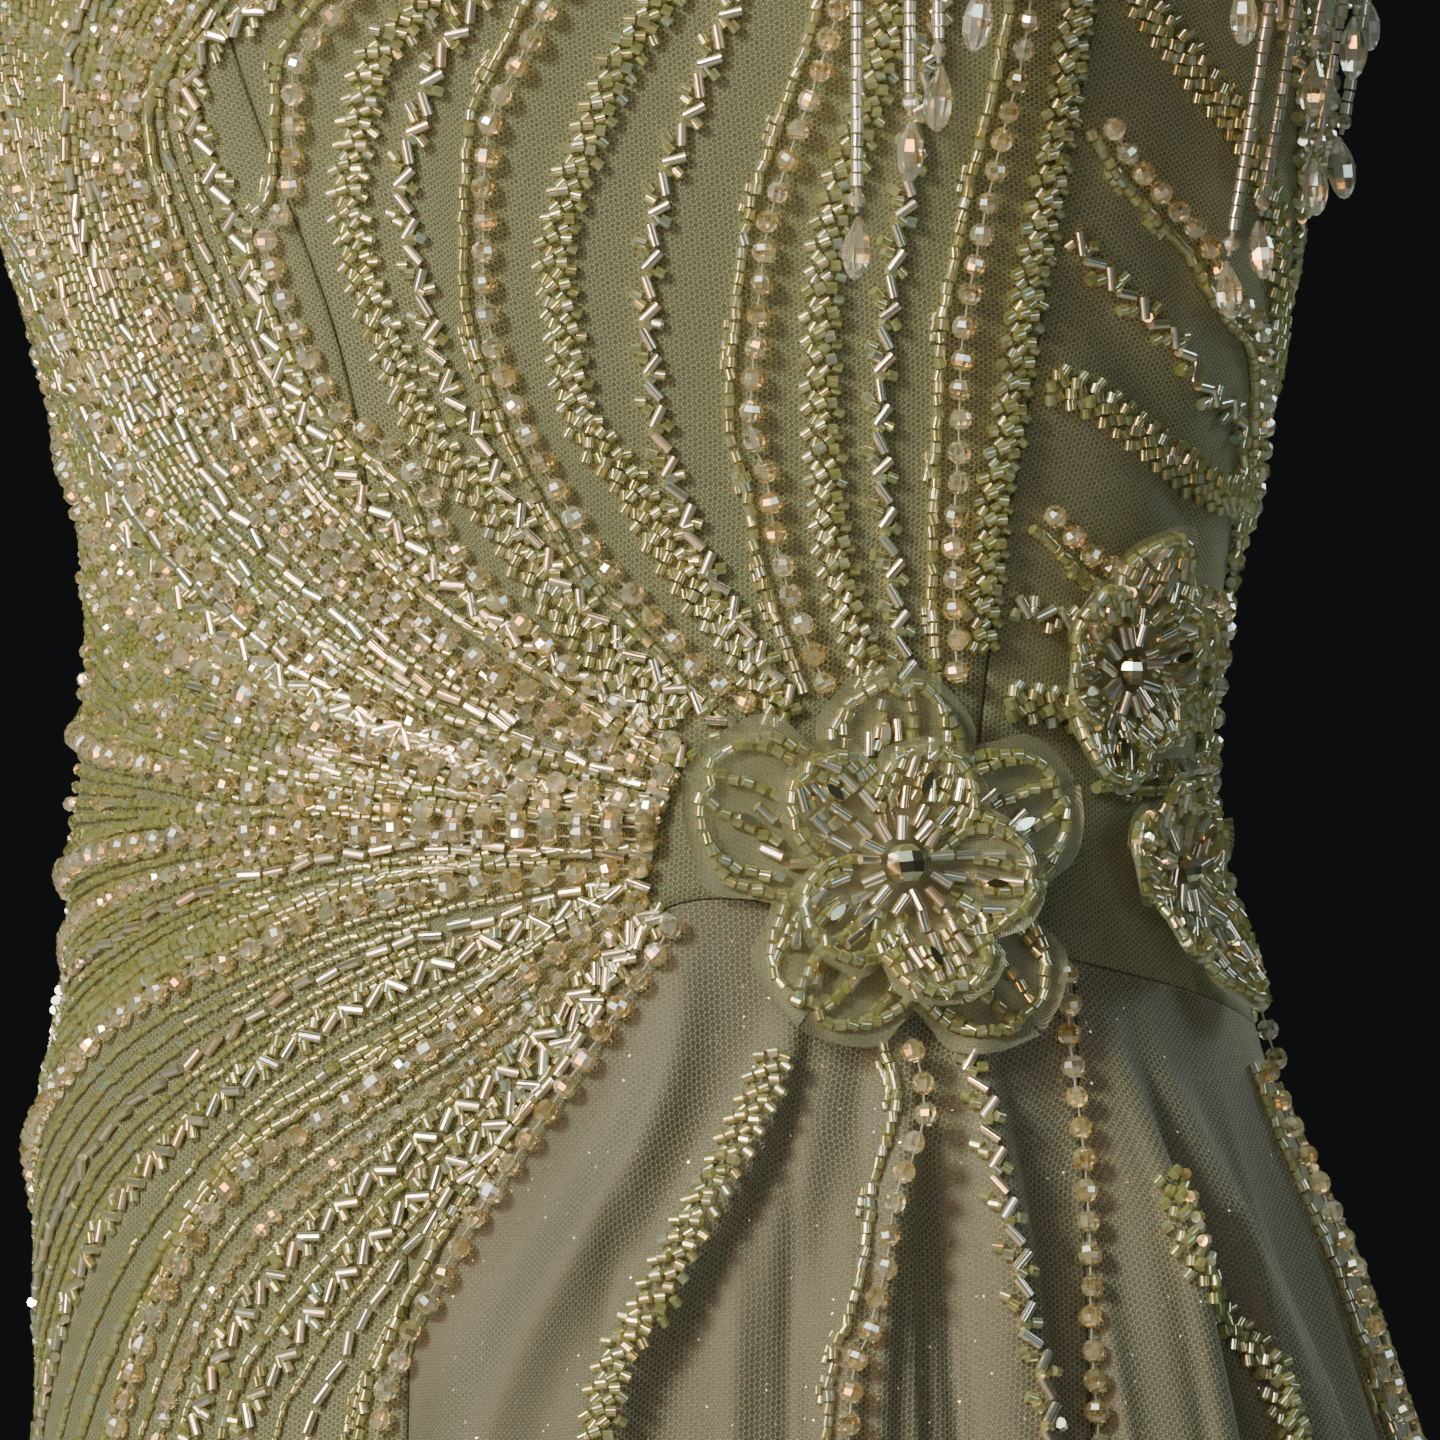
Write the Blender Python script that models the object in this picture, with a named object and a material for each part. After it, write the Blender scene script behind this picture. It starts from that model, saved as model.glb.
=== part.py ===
"""Tulle evening gown, floor length, worn shape with nobody in it.

Wearer faces -Y, the wearer's left is +X, +Z is up, metres.
Origin: midway between the tops of the two shoulder straps, where the gown is held.

Every piece of cloth is a patch of one surface, P(angle, height).  The angle is
seen from above: 0 is centre front, +90 the wearer's left side, 180 centre back.
"""
import bmesh
import bpy
from math import atan2, cos, degrees, exp, hypot, pi, radians, sin
from mathutils import Vector

# ------------------------------------------------------------------ driving sizes
WALL = 0.0016            # tulle, its ground cloth and the beadwork's backing together
SEAM_GAP = 0.0003        # open seam between neighbouring pieces
ROUNDNESS = 2.2          # exponent of the oval sections: 2 is an ellipse
HEM_Z = -1.420
WAIST_Z = -0.400
THIGH_Z = -0.553         # level at which the folds' middle column below is given
FOLD_TOP_Z = -0.460
FOLD_GROWTH = 0.055      # the folds come out of the hip seam over this height

BUST_Z = -0.238
BUST_X = 0.078
BUST_RISE = 0.017        # fullness that the princess seams give each cup
BUST_SPREAD_X = 0.050
BUST_SPREAD_Z = 0.044

# Sections of the gown: height, and reach from the axis to each side.
SECTIONS = (
    # z      right   left    front   back
    (-0.150, 0.1360, 0.1360, 0.0880, 0.0960),
    (-0.200, 0.1410, 0.1410, 0.0985, 0.0980),
    (-0.238, 0.1400, 0.1405, 0.1010, 0.0970),
    (-0.285, 0.1320, 0.1335, 0.0965, 0.0920),
    (-0.325, 0.1215, 0.1260, 0.0920, 0.0880),
    (-0.363, 0.1105, 0.1182, 0.0880, 0.0850),
    (-0.400, 0.1070, 0.1108, 0.0860, 0.0840),
    (-0.430, 0.1100, 0.1088, 0.0890, 0.0870),
    (-0.460, 0.1115, 0.1158, 0.0940, 0.0940),
    (-0.495, 0.1168, 0.1260, 0.0990, 0.1030),
    (-0.553, 0.1170, 0.1450, 0.1060, 0.1140),
    (-0.640, 0.1230, 0.1780, 0.1170, 0.1250),
    (-0.800, 0.1310, 0.2280, 0.1400, 0.1480),
    (-1.000, 0.1440, 0.2750, 0.1700, 0.1820),
    (-1.200, 0.1630, 0.3080, 0.2000, 0.2180),
    (-1.420, 0.1880, 0.3330, 0.2320, 0.2560),
)
Z, RIGHT, LEFT, FRONT, BACK = range(5)

# Seams of the front, as they look from straight ahead.
PRINCESS_RIGHT = (
    # z      x
    (-0.160, -0.0860),
    (-0.238, -0.0860),
    (-0.297, -0.0729),
    (-0.315, -0.0655),
    (-0.338, -0.0570),
    (-0.352, -0.0525),
    (-0.400, -0.0480),
    (-0.450, -0.0460),
    (-0.540, -0.0420),
    (-0.800, -0.0560),
    (-1.100, -0.0780),
    (-1.420, -0.1050),
)
PRINCESS_LEFT = (
    # z      x
    (-0.160, 0.0880),
    (-0.238, 0.0890),
    (-0.280, 0.0849),
    (-0.315, 0.0781),
    (-0.339, 0.0748),
    (-0.368, 0.0701),
    (-0.391, 0.0662),
    (-0.470, 0.0580),
)
# Seam in the valley between the front skirt and the left skirt.
SKIRT_SEAM = (
    # z      angle
    (-0.440, 50.0),
    (-0.553, 42.7),
    (-0.800, 38.0),
    (-1.420, 34.6),
)
SIDE_SEAM = 92.0
SIDE_BACK_SEAM = 146.0
CENTRE_BACK = 180.0

# Seam that the skirt hangs from, right princess seam round to the left back.
HIP_SEAM = (
    # angle  z
    (-23.0, -0.5400),
    (-20.8, -0.5090),
    (-14.8, -0.4920),
    (-10.6, -0.4770),
    (-4.3, -0.4570),
    (5.9, -0.4460),
    (28.0, -0.4500),
    (60.0, -0.4620),
    (92.0, -0.4750),
    (146.0, -0.4900),
)
# Upper edge of the bodice, the same on both sides.
TOP_EDGE = (
    # angle  z
    (0.0, -0.1920),
    (25.0, -0.1830),
    (40.0, -0.1660),
    (56.0, -0.1660),
    (72.0, -0.1940),
    (92.0, -0.2120),
    (120.0, -0.2020),
    (137.0, -0.1860),
    (153.0, -0.1860),
    (180.0, -0.2010),
)

# Folds of the skirt.  Angles in degrees, rises in metres, spreads in degrees
# on the side of the wearer's right and on the side of the wearer's left.
FOLDS = (
    # top    thigh   hem    rise_thigh rise_hem spread_right spread_left
    (5.0, -15.6, -24.0, 0.0055, 0.0150, 6.5, 6.0),
    (17.5, -3.8, -12.0, 0.0065, 0.0180, 6.0, 3.0),
    (22.0, 8.0, -2.0, 0.0020, 0.0110, 5.0, 5.0),
    (28.5, 20.7, 9.0, 0.0075, 0.0210, 6.0, 4.2),
    (36.0, 35.8, 24.0, 0.0070, 0.0200, 4.0, 4.2),
    (52.0, 52.0, 44.0, 0.0105, 0.0280, 5.5, 4.0),
    (57.0, 64.5, 58.0, 0.0070, 0.0260, 4.2, 4.2),
    (76.0, 78.0, 71.0, 0.0055, 0.0240, 5.0, 5.0),
    (93.0, 93.0, 86.0, 0.0060, 0.0270, 5.5, 5.0),
    (110.0, 108.0, 102.0, 0.0040, 0.0220, 5.0, 5.5),
    (126.0, 124.0, 118.0, 0.0050, 0.0260, 5.5, 5.0),
    (141.0, 139.0, 134.0, 0.0030, 0.0200, 5.0, 5.0),
    (155.0, 155.0, 150.0, 0.0020, 0.0240, 5.5, 6.0),
    (170.0, 171.0, 168.0, 0.0010, 0.0180, 6.0, 6.0),
    (190.0, 190.0, 190.0, 0.0010, 0.0200, 6.5, 6.0),
    (209.0, 209.0, 211.0, 0.0000, 0.0150, 7.0, 6.5),
    (232.0, 232.0, 233.0, 0.0000, 0.0120, 8.0, 7.0),
    (256.0, 256.0, 257.0, 0.0000, 0.0100, 8.0, 8.0),
    (283.0, 283.0, 284.0, 0.0000, 0.0110, 8.0, 8.0),
    (309.0, 309.0, 308.0, 0.0000, 0.0120, 7.5, 7.5),
)
HEM_SPREAD = 1.15        # a fold is this much wider at the hem than at the thigh

# Heights that all pieces share, so that seams match from piece to piece.
LEVELS = (
    -0.238, -0.262, -0.290, -0.318, -0.345, -0.372, -0.400, -0.420,
    -0.440, -0.460, -0.480, -0.500, -0.520, -0.540, -0.560, -0.580,
    -0.600, -0.650, -0.710, -0.780, -0.860, -0.940, -1.030, -1.120,
    -1.220, -1.320, HEM_Z,
)
BODICE_END = -0.440      # last shared level above the hip seam
SKIRT_START = -0.600     # first shared level below it

STRAP_WIDTH = 0.026
STRAP_SEGMENTS = 16
STRAP_TURN = 0.35        # share of its length over which a strap turns level
STRAP_FRONT_ANGLE = 48.0
STRAP_BACK_ANGLE = 145.0
# Middle of a strap's outer face on its way over the shoulder, wearer's left.
STRAP_ROUTE = (
    # x      y        z
    (0.0860, -0.0850, -0.1150),
    (0.0810, -0.0700, -0.0560),
    (0.0770, -0.0340, -0.0090),
    (0.0740, 0.0080, 0.0000),
    (0.0720, 0.0480, -0.0240),
    (0.0700, 0.0730, -0.0820),
    (0.0680, 0.0820, -0.1400),
)

PETAL_WALL = 0.0012
# Organza flowers: one row for each layer of petals.
ROSETTES = (
    # name                angle  z        radius  petals turn  lift    rise
    ("flower_hip_outer", 28.9, -0.4408, 0.0385, 5, 18.0, 0.0012, 0.0030),
    ("flower_hip_inner", 28.9, -0.4408, 0.0290, 5, 54.0, 0.0052, 0.0050),
    ("flower_side_upper", 58.0, -0.4030, 0.0250, 5, 10.0, 0.0012, 0.0045),
    ("flower_side_lower", 70.0, -0.4440, 0.0210, 5, 40.0, 0.0012, 0.0040),
)
ROSETTE_SECTORS = 40
ROSETTE_RINGS = (0.30, 0.62, 0.86, 1.00)
PETAL_NOTCH = 0.26       # depth of the notch between two petals, in radii

STRAND_WIDTH = 0.0022
DROP_WIDTH = 0.0055
DROP_LENGTH = 0.0120
FRINGE_STRIP_HEIGHT = 0.0050
FRINGE_STRIP_DEPTH = 0.0020
FRINGE_CLEARANCE = 0.0008
FRINGE_TOP_Z = -0.2260
# Bead strands hanging clear in front of the left cup.
FRONT_STRANDS = (
    # x at the strip, z of the lowest point
    (0.0260, -0.2620),
    (0.0330, -0.2750),
    (0.0402, -0.3330),
    (0.0496, -0.3155),
    (0.0546, -0.3060),
    (0.0614, -0.2915),
    (0.0680, -0.2760),
    (0.0745, -0.2640),
)
# Bead strands lying along the left side.
SIDE_STRANDS = (
    # angle  z of the lowest point
    (60.0, -0.2860),
    (63.5, -0.3370),
    (67.0, -0.3290),
    (71.0, -0.2980),
    (75.0, -0.3160),
    (79.0, -0.2890),
    (84.0, -0.3110),
    (89.0, -0.2820),
)
SIDE_STRAND_CLEARANCE = 0.0022
PLUMB_STEPS = 4


# ------------------------------------------------------------------ small helpers
def clear_scene():
    for item in list(bpy.data.objects):
        bpy.data.objects.remove(item, do_unlink=True)


def material(name, colour, roughness):
    made = bpy.data.materials.new(name)
    made.use_nodes = True
    shader = made.node_tree.nodes["Principled BSDF"]
    shader.inputs["Base Color"].default_value = (*colour, 1.0)
    shader.inputs["Roughness"].default_value = roughness
    shader.inputs["Metallic"].default_value = 0.0
    return made


def smooth_step(x):
    x = min(1.0, max(0.0, x))
    return x * x * (3.0 - 2.0 * x)


def bracket(table, key):
    """Rows on both sides of key, and how far key lies from the first to the second."""
    rising = table[0][0] < table[-1][0]
    for i in range(len(table) - 1):
        low = table[i][0]
        high = table[i + 1][0]
        inside = key <= high if rising else key >= high
        if inside or i == len(table) - 2:
            part = (key - low) / (high - low)
            return i, min(1.0, max(0.0, part))


def along(table, key, column=1):
    """Straight-line reading of a table column."""
    i, part = bracket(table, key)
    return table[i][column] * (1.0 - part) + table[i + 1][column] * part


def curve(table, key, column=1):
    """Reading of a table column on a smooth curve through its rows."""
    i, part = bracket(table, key)
    last = len(table) - 1

    def slope(k):
        before = max(0, k - 1)
        after = min(last, k + 1)
        return (table[after][column] - table[before][column]) / (table[after][0] - table[before][0])

    step = table[i + 1][0] - table[i][0]
    p2 = part * part
    p3 = p2 * part
    return (
        table[i][column] * (2 * p3 - 3 * p2 + 1)
        + slope(i) * step * (p3 - 2 * p2 + part)
        + table[i + 1][column] * (3 * p2 - 2 * p3)
        + slope(i + 1) * step * (p3 - p2)
    )


# ------------------------------------------------------------------ the gown's surface
def oval(angle, z):
    """Distance from the axis to the section's oval at an angle in degrees."""
    a = radians(angle)
    across = curve(SECTIONS, z, LEFT if sin(a) >= 0.0 else RIGHT)
    deep = curve(SECTIONS, z, FRONT if cos(a) >= 0.0 else BACK)
    share = (abs(sin(a)) / across) ** ROUNDNESS + (abs(cos(a)) / deep) ** ROUNDNESS
    return share ** (-1.0 / ROUNDNESS)


def hip_seam(angle):
    """Height of the hip seam, straight from each row of its table to the next."""
    return along(HIP_SEAM, angle if angle <= 185.0 else angle - 360.0)


def hip_gap(angle):
    """Half the hip seam's opening measured straight down, wider where the seam is steep."""
    step = 0.25
    climb = abs(hip_seam(angle + step) - hip_seam(angle - step))
    travel = 2 * step * per_degree(angle, hip_seam(angle))
    return SEAM_GAP / 2 * hypot(1.0, climb / travel)


def fold_rise(angle, z):
    """How far the folds stand out of the section at this place."""
    growth = smooth_step((curve(HIP_SEAM, angle if angle <= 185.0 else angle - 360.0) - z) / FOLD_GROWTH)
    if growth == 0.0:
        return 0.0
    upper = smooth_step((FOLD_TOP_Z - z) / (FOLD_TOP_Z - THIGH_Z))
    lower = smooth_step((THIGH_Z - z) / (THIGH_Z - HEM_Z)) * 0.5 + 0.5 * (THIGH_Z - z) / (THIGH_Z - HEM_Z)
    total = 0.0
    for top, thigh, hem, rise_thigh, rise_hem, spread_right, spread_left in FOLDS:
        if z >= THIGH_Z:
            centre = top + (thigh - top) * upper
            rise = rise_thigh
            widen = 0.45 + 0.55 * upper
        else:
            centre = thigh + (hem - thigh) * lower
            rise = rise_thigh + (rise_hem - rise_thigh) * lower
            widen = 1.0 + (HEM_SPREAD - 1.0) * lower
        offset = (angle - centre + 180.0) % 360.0 - 180.0
        spread = (spread_right if offset < 0.0 else spread_left) * widen
        if abs(offset) < 3.0 * spread:
            total += rise * exp(-((offset / spread) ** 2))
    return total * growth


def surface(angle, z):
    """Point of the gown's outer face."""
    a = radians(angle)
    r = oval(angle, z) + fold_rise(angle, z)
    x = r * sin(a)
    y = -r * cos(a)
    if y < 0.0 and z > WAIST_Z:
        for side in (-BUST_X, BUST_X):
            near = ((x - side) / BUST_SPREAD_X) ** 2 + ((z - BUST_Z) / BUST_SPREAD_Z) ** 2
            y -= BUST_RISE * exp(-near) * smooth_step(-y / 0.04)
    return Vector((x, y, z))


def outward(angle, z):
    """Unit normal of the outer face."""
    across = surface(angle + 0.25, z) - surface(angle - 0.25, z)
    down = surface(angle, z - 0.0015) - surface(angle, z + 0.0015)
    return down.cross(across).normalized()


def per_degree(angle, z):
    """Length on the surface of one degree of angle."""
    return (surface(angle + 0.5, z) - surface(angle - 0.5, z)).length


# ------------------------------------------------------------------ seams as angles
def front_angle(x, z):
    """Angle at which the front of the section has the given x."""
    across = curve(SECTIONS, z, LEFT if x >= 0.0 else RIGHT)
    deep = curve(SECTIONS, z, FRONT)
    y = deep * (1.0 - (abs(x) / across) ** ROUNDNESS) ** (1.0 / ROUNDNESS)
    return degrees(atan2(x, y))


def through_levels(reading):
    """A seam that runs straight from each shared level to the next."""
    heights = [-0.150] + list(LEVELS)
    rows = [(z, reading(z)) for z in heights]
    return lambda z: along(rows, z)


princess_right = through_levels(lambda z: front_angle(curve(PRINCESS_RIGHT, z), z))
princess_left = through_levels(lambda z: front_angle(curve(PRINCESS_LEFT, z), z))
skirt_seam = through_levels(lambda z: curve(SKIRT_SEAM, z))


def fixed(angle):
    return lambda z: angle


def top_edge(angle):
    a = abs(angle) if abs(angle) <= 180.0 else 360.0 - abs(angle)
    return along(TOP_EDGE, a)


def hem(angle):
    return HEM_Z


# ------------------------------------------------------------------ building solids
def solid_from_grids(name, outer, inner, finish):
    """Close two matching grids of points, outer and inner, into one solid."""
    shape = bmesh.new()
    rows = len(outer)
    columns = len(outer[0])
    sheets = []
    for grid in (outer, inner):
        sheets.append([[shape.verts.new(p) for p in row] for row in grid])
    front, rear = sheets
    for j in range(rows - 1):
        for i in range(columns - 1):
            shape.faces.new((front[j][i], front[j + 1][i], front[j + 1][i + 1], front[j][i + 1]))
            shape.faces.new((rear[j][i], rear[j][i + 1], rear[j + 1][i + 1], rear[j + 1][i]))
    for i in range(columns - 1):
        shape.faces.new((front[0][i], front[0][i + 1], rear[0][i + 1], rear[0][i]))
        shape.faces.new((front[-1][i + 1], front[-1][i], rear[-1][i], rear[-1][i + 1]))
    for j in range(rows - 1):
        shape.faces.new((front[j + 1][0], front[j][0], rear[j][0], rear[j + 1][0]))
        shape.faces.new((front[j][-1], front[j + 1][-1], rear[j + 1][-1], rear[j][-1]))
    return finish_solid(name, shape, finish)


def finish_solid(name, shape, finish):
    bmesh.ops.triangulate(shape, faces=list(shape.faces))
    bmesh.ops.recalc_face_normals(shape, faces=list(shape.faces))
    mesh = bpy.data.meshes.new(name)
    shape.to_mesh(mesh)
    shape.free()
    mesh.materials.append(finish)
    mesh.shade_smooth()
    mesh.set_sharp_from_angle(angle=radians(35.0))
    made = bpy.data.objects.new(name, mesh)
    bpy.context.scene.collection.objects.link(made)
    return made


def column_shares(left, right, columns, table):
    """Even columns, moved where needed so that one meets each corner of a slanting edge."""
    shares = [i / columns for i in range(columns + 1)]
    for angle, z in table:
        share = (angle - left(z)) / (right(z) - left(z))
        nearest = round(share * columns)
        if 0 < nearest < columns and 0.0 < share < 1.0:
            shares[nearest] = share
    return shares


def cloth_panel(name, finish, left, right, top, bottom, levels, above, below, columns):
    """Panel between two seams and two edges.

    left and right give an angle for a height, top and bottom a height for an
    angle.  The shared levels run straight across; above and below are the
    numbers of rows from the top edge to the first level and from the last one
    to the bottom edge.
    """
    slanting = HIP_SEAM if hip_seam in (top, bottom) else ()
    outer = []
    inner = []
    count = above + len(levels) + below
    for j in range(count):
        outer_row = []
        inner_row = []
        for share in column_shares(left, right, columns, slanting):
            z = levels[0] if j < above else levels[-1]
            angle = 0.0
            for _ in range(6):
                low = left(z) + SEAM_GAP / 2 / per_degree(left(z), z)
                high = right(z) - SEAM_GAP / 2 / per_degree(right(z), z)
                angle = low + (high - low) * share
                if j < above:
                    start = top(angle) - (hip_gap(angle) if top is hip_seam else 0.0)
                    z = start + (levels[0] - start) * j / above
                elif j >= above + len(levels):
                    end = bottom(angle) + (hip_gap(angle) if bottom is hip_seam else 0.0)
                    z = levels[-1] + (end - levels[-1]) * (j - above - len(levels) + 1) / below
                else:
                    z = levels[j - above]
            point = surface(angle, z)
            outer_row.append(point)
            inner_row.append(point - outward(angle, z) * WALL)
        outer.append(outer_row)
        inner.append(inner_row)
    return solid_from_grids(name, outer, inner, finish)


def levels_between(high, low):
    return [z for z in LEVELS if low - 1e-6 <= z <= high + 1e-6]


def route_point(route, share):
    """Point on a smooth curve through a route's points."""
    position = share * (len(route) - 1)
    i = min(int(position), len(route) - 2)
    t = position - i
    p = [Vector(route[min(max(k, 0), len(route) - 1)]) for k in (i - 1, i, i + 1, i + 2)]
    return 0.5 * (
        2 * p[1]
        + (p[2] - p[0]) * t
        + (2 * p[0] - 5 * p[1] + 4 * p[2] - p[3]) * t * t
        + (3 * p[1] - p[0] - 3 * p[2] + p[3]) * t ** 3
    )


def strap(name, finish, side):
    """Shoulder strap: a band along its route, side is +1 for the wearer's left."""
    ends = []
    tangents = []
    for angle in (STRAP_FRONT_ANGLE, STRAP_BACK_ANGLE):
        z = top_edge(angle) + SEAM_GAP
        ends.append(surface(angle, z))
        tangents.append((surface(angle + 1.0, z) - surface(angle - 1.0, z)).normalized())
    tangents[1] = tangents[1] * -1.0
    route = [ends[0], *STRAP_ROUTE, ends[1]]
    outer = []
    inner = []
    for k in range(STRAP_SEGMENTS + 1):
        share = k / STRAP_SEGMENTS
        here = route_point(route, share)
        ahead = route_point(route, min(1.0, share + 0.01)) - route_point(route, max(0.0, share - 0.01))
        ahead.x = 0.0
        level = Vector((1.0, 0.0, 0.0))
        nearest_end = 0 if share < 0.5 else 1
        to_end = min(share, 1.0 - share)
        level = tangents[nearest_end].lerp(level, smooth_step(to_end / STRAP_TURN)).normalized()
        out = level.cross(ahead).normalized()
        outer_row = []
        inner_row = []
        for edge in (-0.5, 0.0, 0.5):
            point = here + level * STRAP_WIDTH * edge
            inside = point - out * WALL
            for grid_row, place in ((outer_row, point), (inner_row, inside)):
                grid_row.append(Vector((place.x * side, place.y, place.z)))
        outer.append(outer_row)
        inner.append(inner_row)
    return solid_from_grids(name, outer, inner, finish)


def petal_outline(turn, petals, bearing):
    """Outline of a flower in radii: full at a petal's middle, notched between two."""
    phase = abs(cos(0.5 * petals * (bearing - radians(turn))))
    return 1.0 - PETAL_NOTCH * (1.0 - phase ** 0.55)


def rosette(name, finish, angle, z, radius, petals, turn, lift, rise):
    """One layer of petals, made from the cloth's own points moved out."""
    scale = per_degree(angle, z)
    shape = bmesh.new()
    sheets = []
    for side in (0.0, 1.0):
        rings = []
        for reach in ROSETTE_RINGS:
            ring = []
            for k in range(ROSETTE_SECTORS):
                bearing = 2 * pi * k / ROSETTE_SECTORS
                r = radius * reach * petal_outline(turn, petals, bearing)
                across = angle + r * sin(bearing) / scale
                height = z + r * cos(bearing)
                wave = 0.65 + 0.35 * cos(petals * (bearing - radians(turn)))
                out = lift + rise * reach * reach * wave + side * PETAL_WALL
                ring.append(shape.verts.new(surface(across, height) + outward(angle, z) * out))
            rings.append(ring)
        heart = shape.verts.new(surface(angle, z) + outward(angle, z) * (lift + side * PETAL_WALL))
        sheets.append((rings, heart))
    count = ROSETTE_SECTORS
    for side, (rings, heart) in enumerate(sheets):
        for k in range(count):
            n = (k + 1) % count
            shape.faces.new((heart, rings[0][k], rings[0][n]))
            for inner_ring, outer_ring in zip(rings, rings[1:]):
                shape.faces.new((inner_ring[k], outer_ring[k], outer_ring[n], inner_ring[n]))
    for k in range(count):
        n = (k + 1) % count
        shape.faces.new((sheets[0][0][-1][k], sheets[1][0][-1][k], sheets[1][0][-1][n], sheets[0][0][-1][n]))
    return finish_solid(name, shape, finish)


def fringe(name, finish, roots, paths):
    """Strip with strands that grow out of its lower face.

    roots holds, for each strand, the two corners (left and right) of its top;
    paths the centre points from the strip down to the drop's tip.
    """
    shape = bmesh.new()
    corners = []
    for left, right in roots:
        corners.append(left)
        corners.append(right)
    sections = []
    for point, out in corners:
        low_near = point
        low_far = point + out * FRINGE_STRIP_DEPTH
        high = Vector((0.0, 0.0, FRINGE_STRIP_HEIGHT))
        sections.append([shape.verts.new(p) for p in (low_near, low_far, low_far + high, low_near + high)])
    first = sections[0]
    last = sections[-1]
    shape.faces.new(first)
    shape.faces.new(list(reversed(last)))
    for k in range(len(sections) - 1):
        here = sections[k]
        there = sections[k + 1]
        for edge in (1, 2, 3):
            after = (edge + 1) % 4
            shape.faces.new((here[edge], there[edge], there[after], here[after]))
        if k % 2 == 1:
            shape.faces.new((here[0], there[0], there[1], here[1]))
            continue
        ring = [here[0], there[0], there[1], here[1]]
        for centre, width in paths[k // 2]:
            level = (ring[1].co - ring[0].co)
            level.z = 0.0
            level.normalize()
            deep = level.cross(Vector((0.0, 0.0, 1.0)))
            if deep.dot(ring[2].co - ring[1].co) < 0.0:
                deep = deep * -1.0
            half = width / 2
            offsets = ((-1, -1), (1, -1), (1, 1), (-1, 1))
            fresh = [shape.verts.new(centre + level * half * a + deep * half * b) for a, b in offsets]
            for n in range(4):
                m = (n + 1) % 4
                shape.faces.new((ring[n], ring[m], fresh[m], fresh[n]))
            ring = fresh
        shape.faces.new(ring)
    return finish_solid(name, shape, finish)


def strand_path(start, end_z, follow):
    """Centre points and widths of a strand with its drop; follow gives the place for a height."""
    neck = end_z + DROP_LENGTH
    rows = []
    for k in range(1, PLUMB_STEPS + 1):
        z = start + (neck - start) * k / PLUMB_STEPS
        rows.append((follow(z), STRAND_WIDTH))
    rows.append((follow(end_z + DROP_LENGTH * 0.45), DROP_WIDTH))
    rows.append((follow(end_z + DROP_LENGTH * 0.18), DROP_WIDTH * 0.8))
    rows.append((follow(end_z), DROP_WIDTH * 0.25))
    return rows


def front_fringe(finish):
    """Strands that hang plumb from a strip over the left cup."""
    roots = []
    paths = []
    half = STRAND_WIDTH / 2
    for x, end_z in FRONT_STRANDS:
        pair = []
        for edge in (x - half, x + half):
            angle = front_angle(edge, FRINGE_TOP_Z)
            out = outward(angle, FRINGE_TOP_Z)
            out.z = 0.0
            out.normalize()
            pair.append((surface(angle, FRINGE_TOP_Z) + out * FRINGE_CLEARANCE * 2, out))
        roots.append(pair)
        middle = (pair[0][0] + pair[1][0]) / 2 + pair[0][1] * FRINGE_STRIP_DEPTH
        bust = surface(front_angle(x, BUST_Z), BUST_Z).y - FRINGE_CLEARANCE - STRAND_WIDTH
        plumb_y = min(middle.y, bust)
        paths.append(strand_path(FRINGE_TOP_Z, end_z, lambda z, m=middle, y=plumb_y: Vector((m.x, y, z))))
    return fringe("fringe_front", finish, roots, paths)


def side_fringe(finish):
    """Strands that lie along the left side."""
    roots = []
    paths = []
    for angle, end_z in SIDE_STRANDS:
        half = STRAND_WIDTH / 2 / per_degree(angle, FRINGE_TOP_Z)
        pair = []
        for edge in (angle - half, angle + half):
            out = outward(edge, FRINGE_TOP_Z)
            out.z = 0.0
            out.normalize()
            pair.append((surface(edge, FRINGE_TOP_Z) + out * FRINGE_CLEARANCE * 2, out))
        roots.append(pair)

        def follow(z, a=angle):
            stand_off = SIDE_STRAND_CLEARANCE + DROP_WIDTH * 0.5
            return surface(a, z) + outward(a, z) * stand_off

        paths.append(strand_path(FRINGE_TOP_Z, end_z, follow))
    return fringe("fringe_side", finish, roots, paths)


# ------------------------------------------------------------------ the pieces
def bodice(beaded):
    """Pieces that end at the hip seam."""
    levels = levels_between(LEVELS[0], BODICE_END)
    cloth_panel("front_centre", beaded, princess_right, princess_left, top_edge, hip_seam, levels, 2, 5, 16)
    cloth_panel("front_side_left", beaded, princess_left, fixed(SIDE_SEAM), top_edge, hip_seam, levels, 2, 2, 9)
    cloth_panel(
        "back_side_left", beaded, fixed(SIDE_SEAM), fixed(SIDE_BACK_SEAM), top_edge, hip_seam, levels, 2, 2, 8
    )


def long_panels(beaded):
    """Pieces cut in one from the top edge to the hem."""
    levels = levels_between(LEVELS[0], LEVELS[-2])
    whole = 360.0
    seams = (
        ("back_left", fixed(SIDE_BACK_SEAM), fixed(CENTRE_BACK), 9),
        ("back_right", fixed(CENTRE_BACK), fixed(whole - SIDE_BACK_SEAM), 9),
        ("back_side_right", fixed(whole - SIDE_BACK_SEAM), fixed(whole - SIDE_SEAM), 9),
        ("front_side_right", fixed(-SIDE_SEAM), princess_right, 11),
    )
    for name, start, end, columns in seams:
        cloth_panel(name, beaded, start, end, top_edge, hem, levels, 2, 1, columns)


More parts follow.
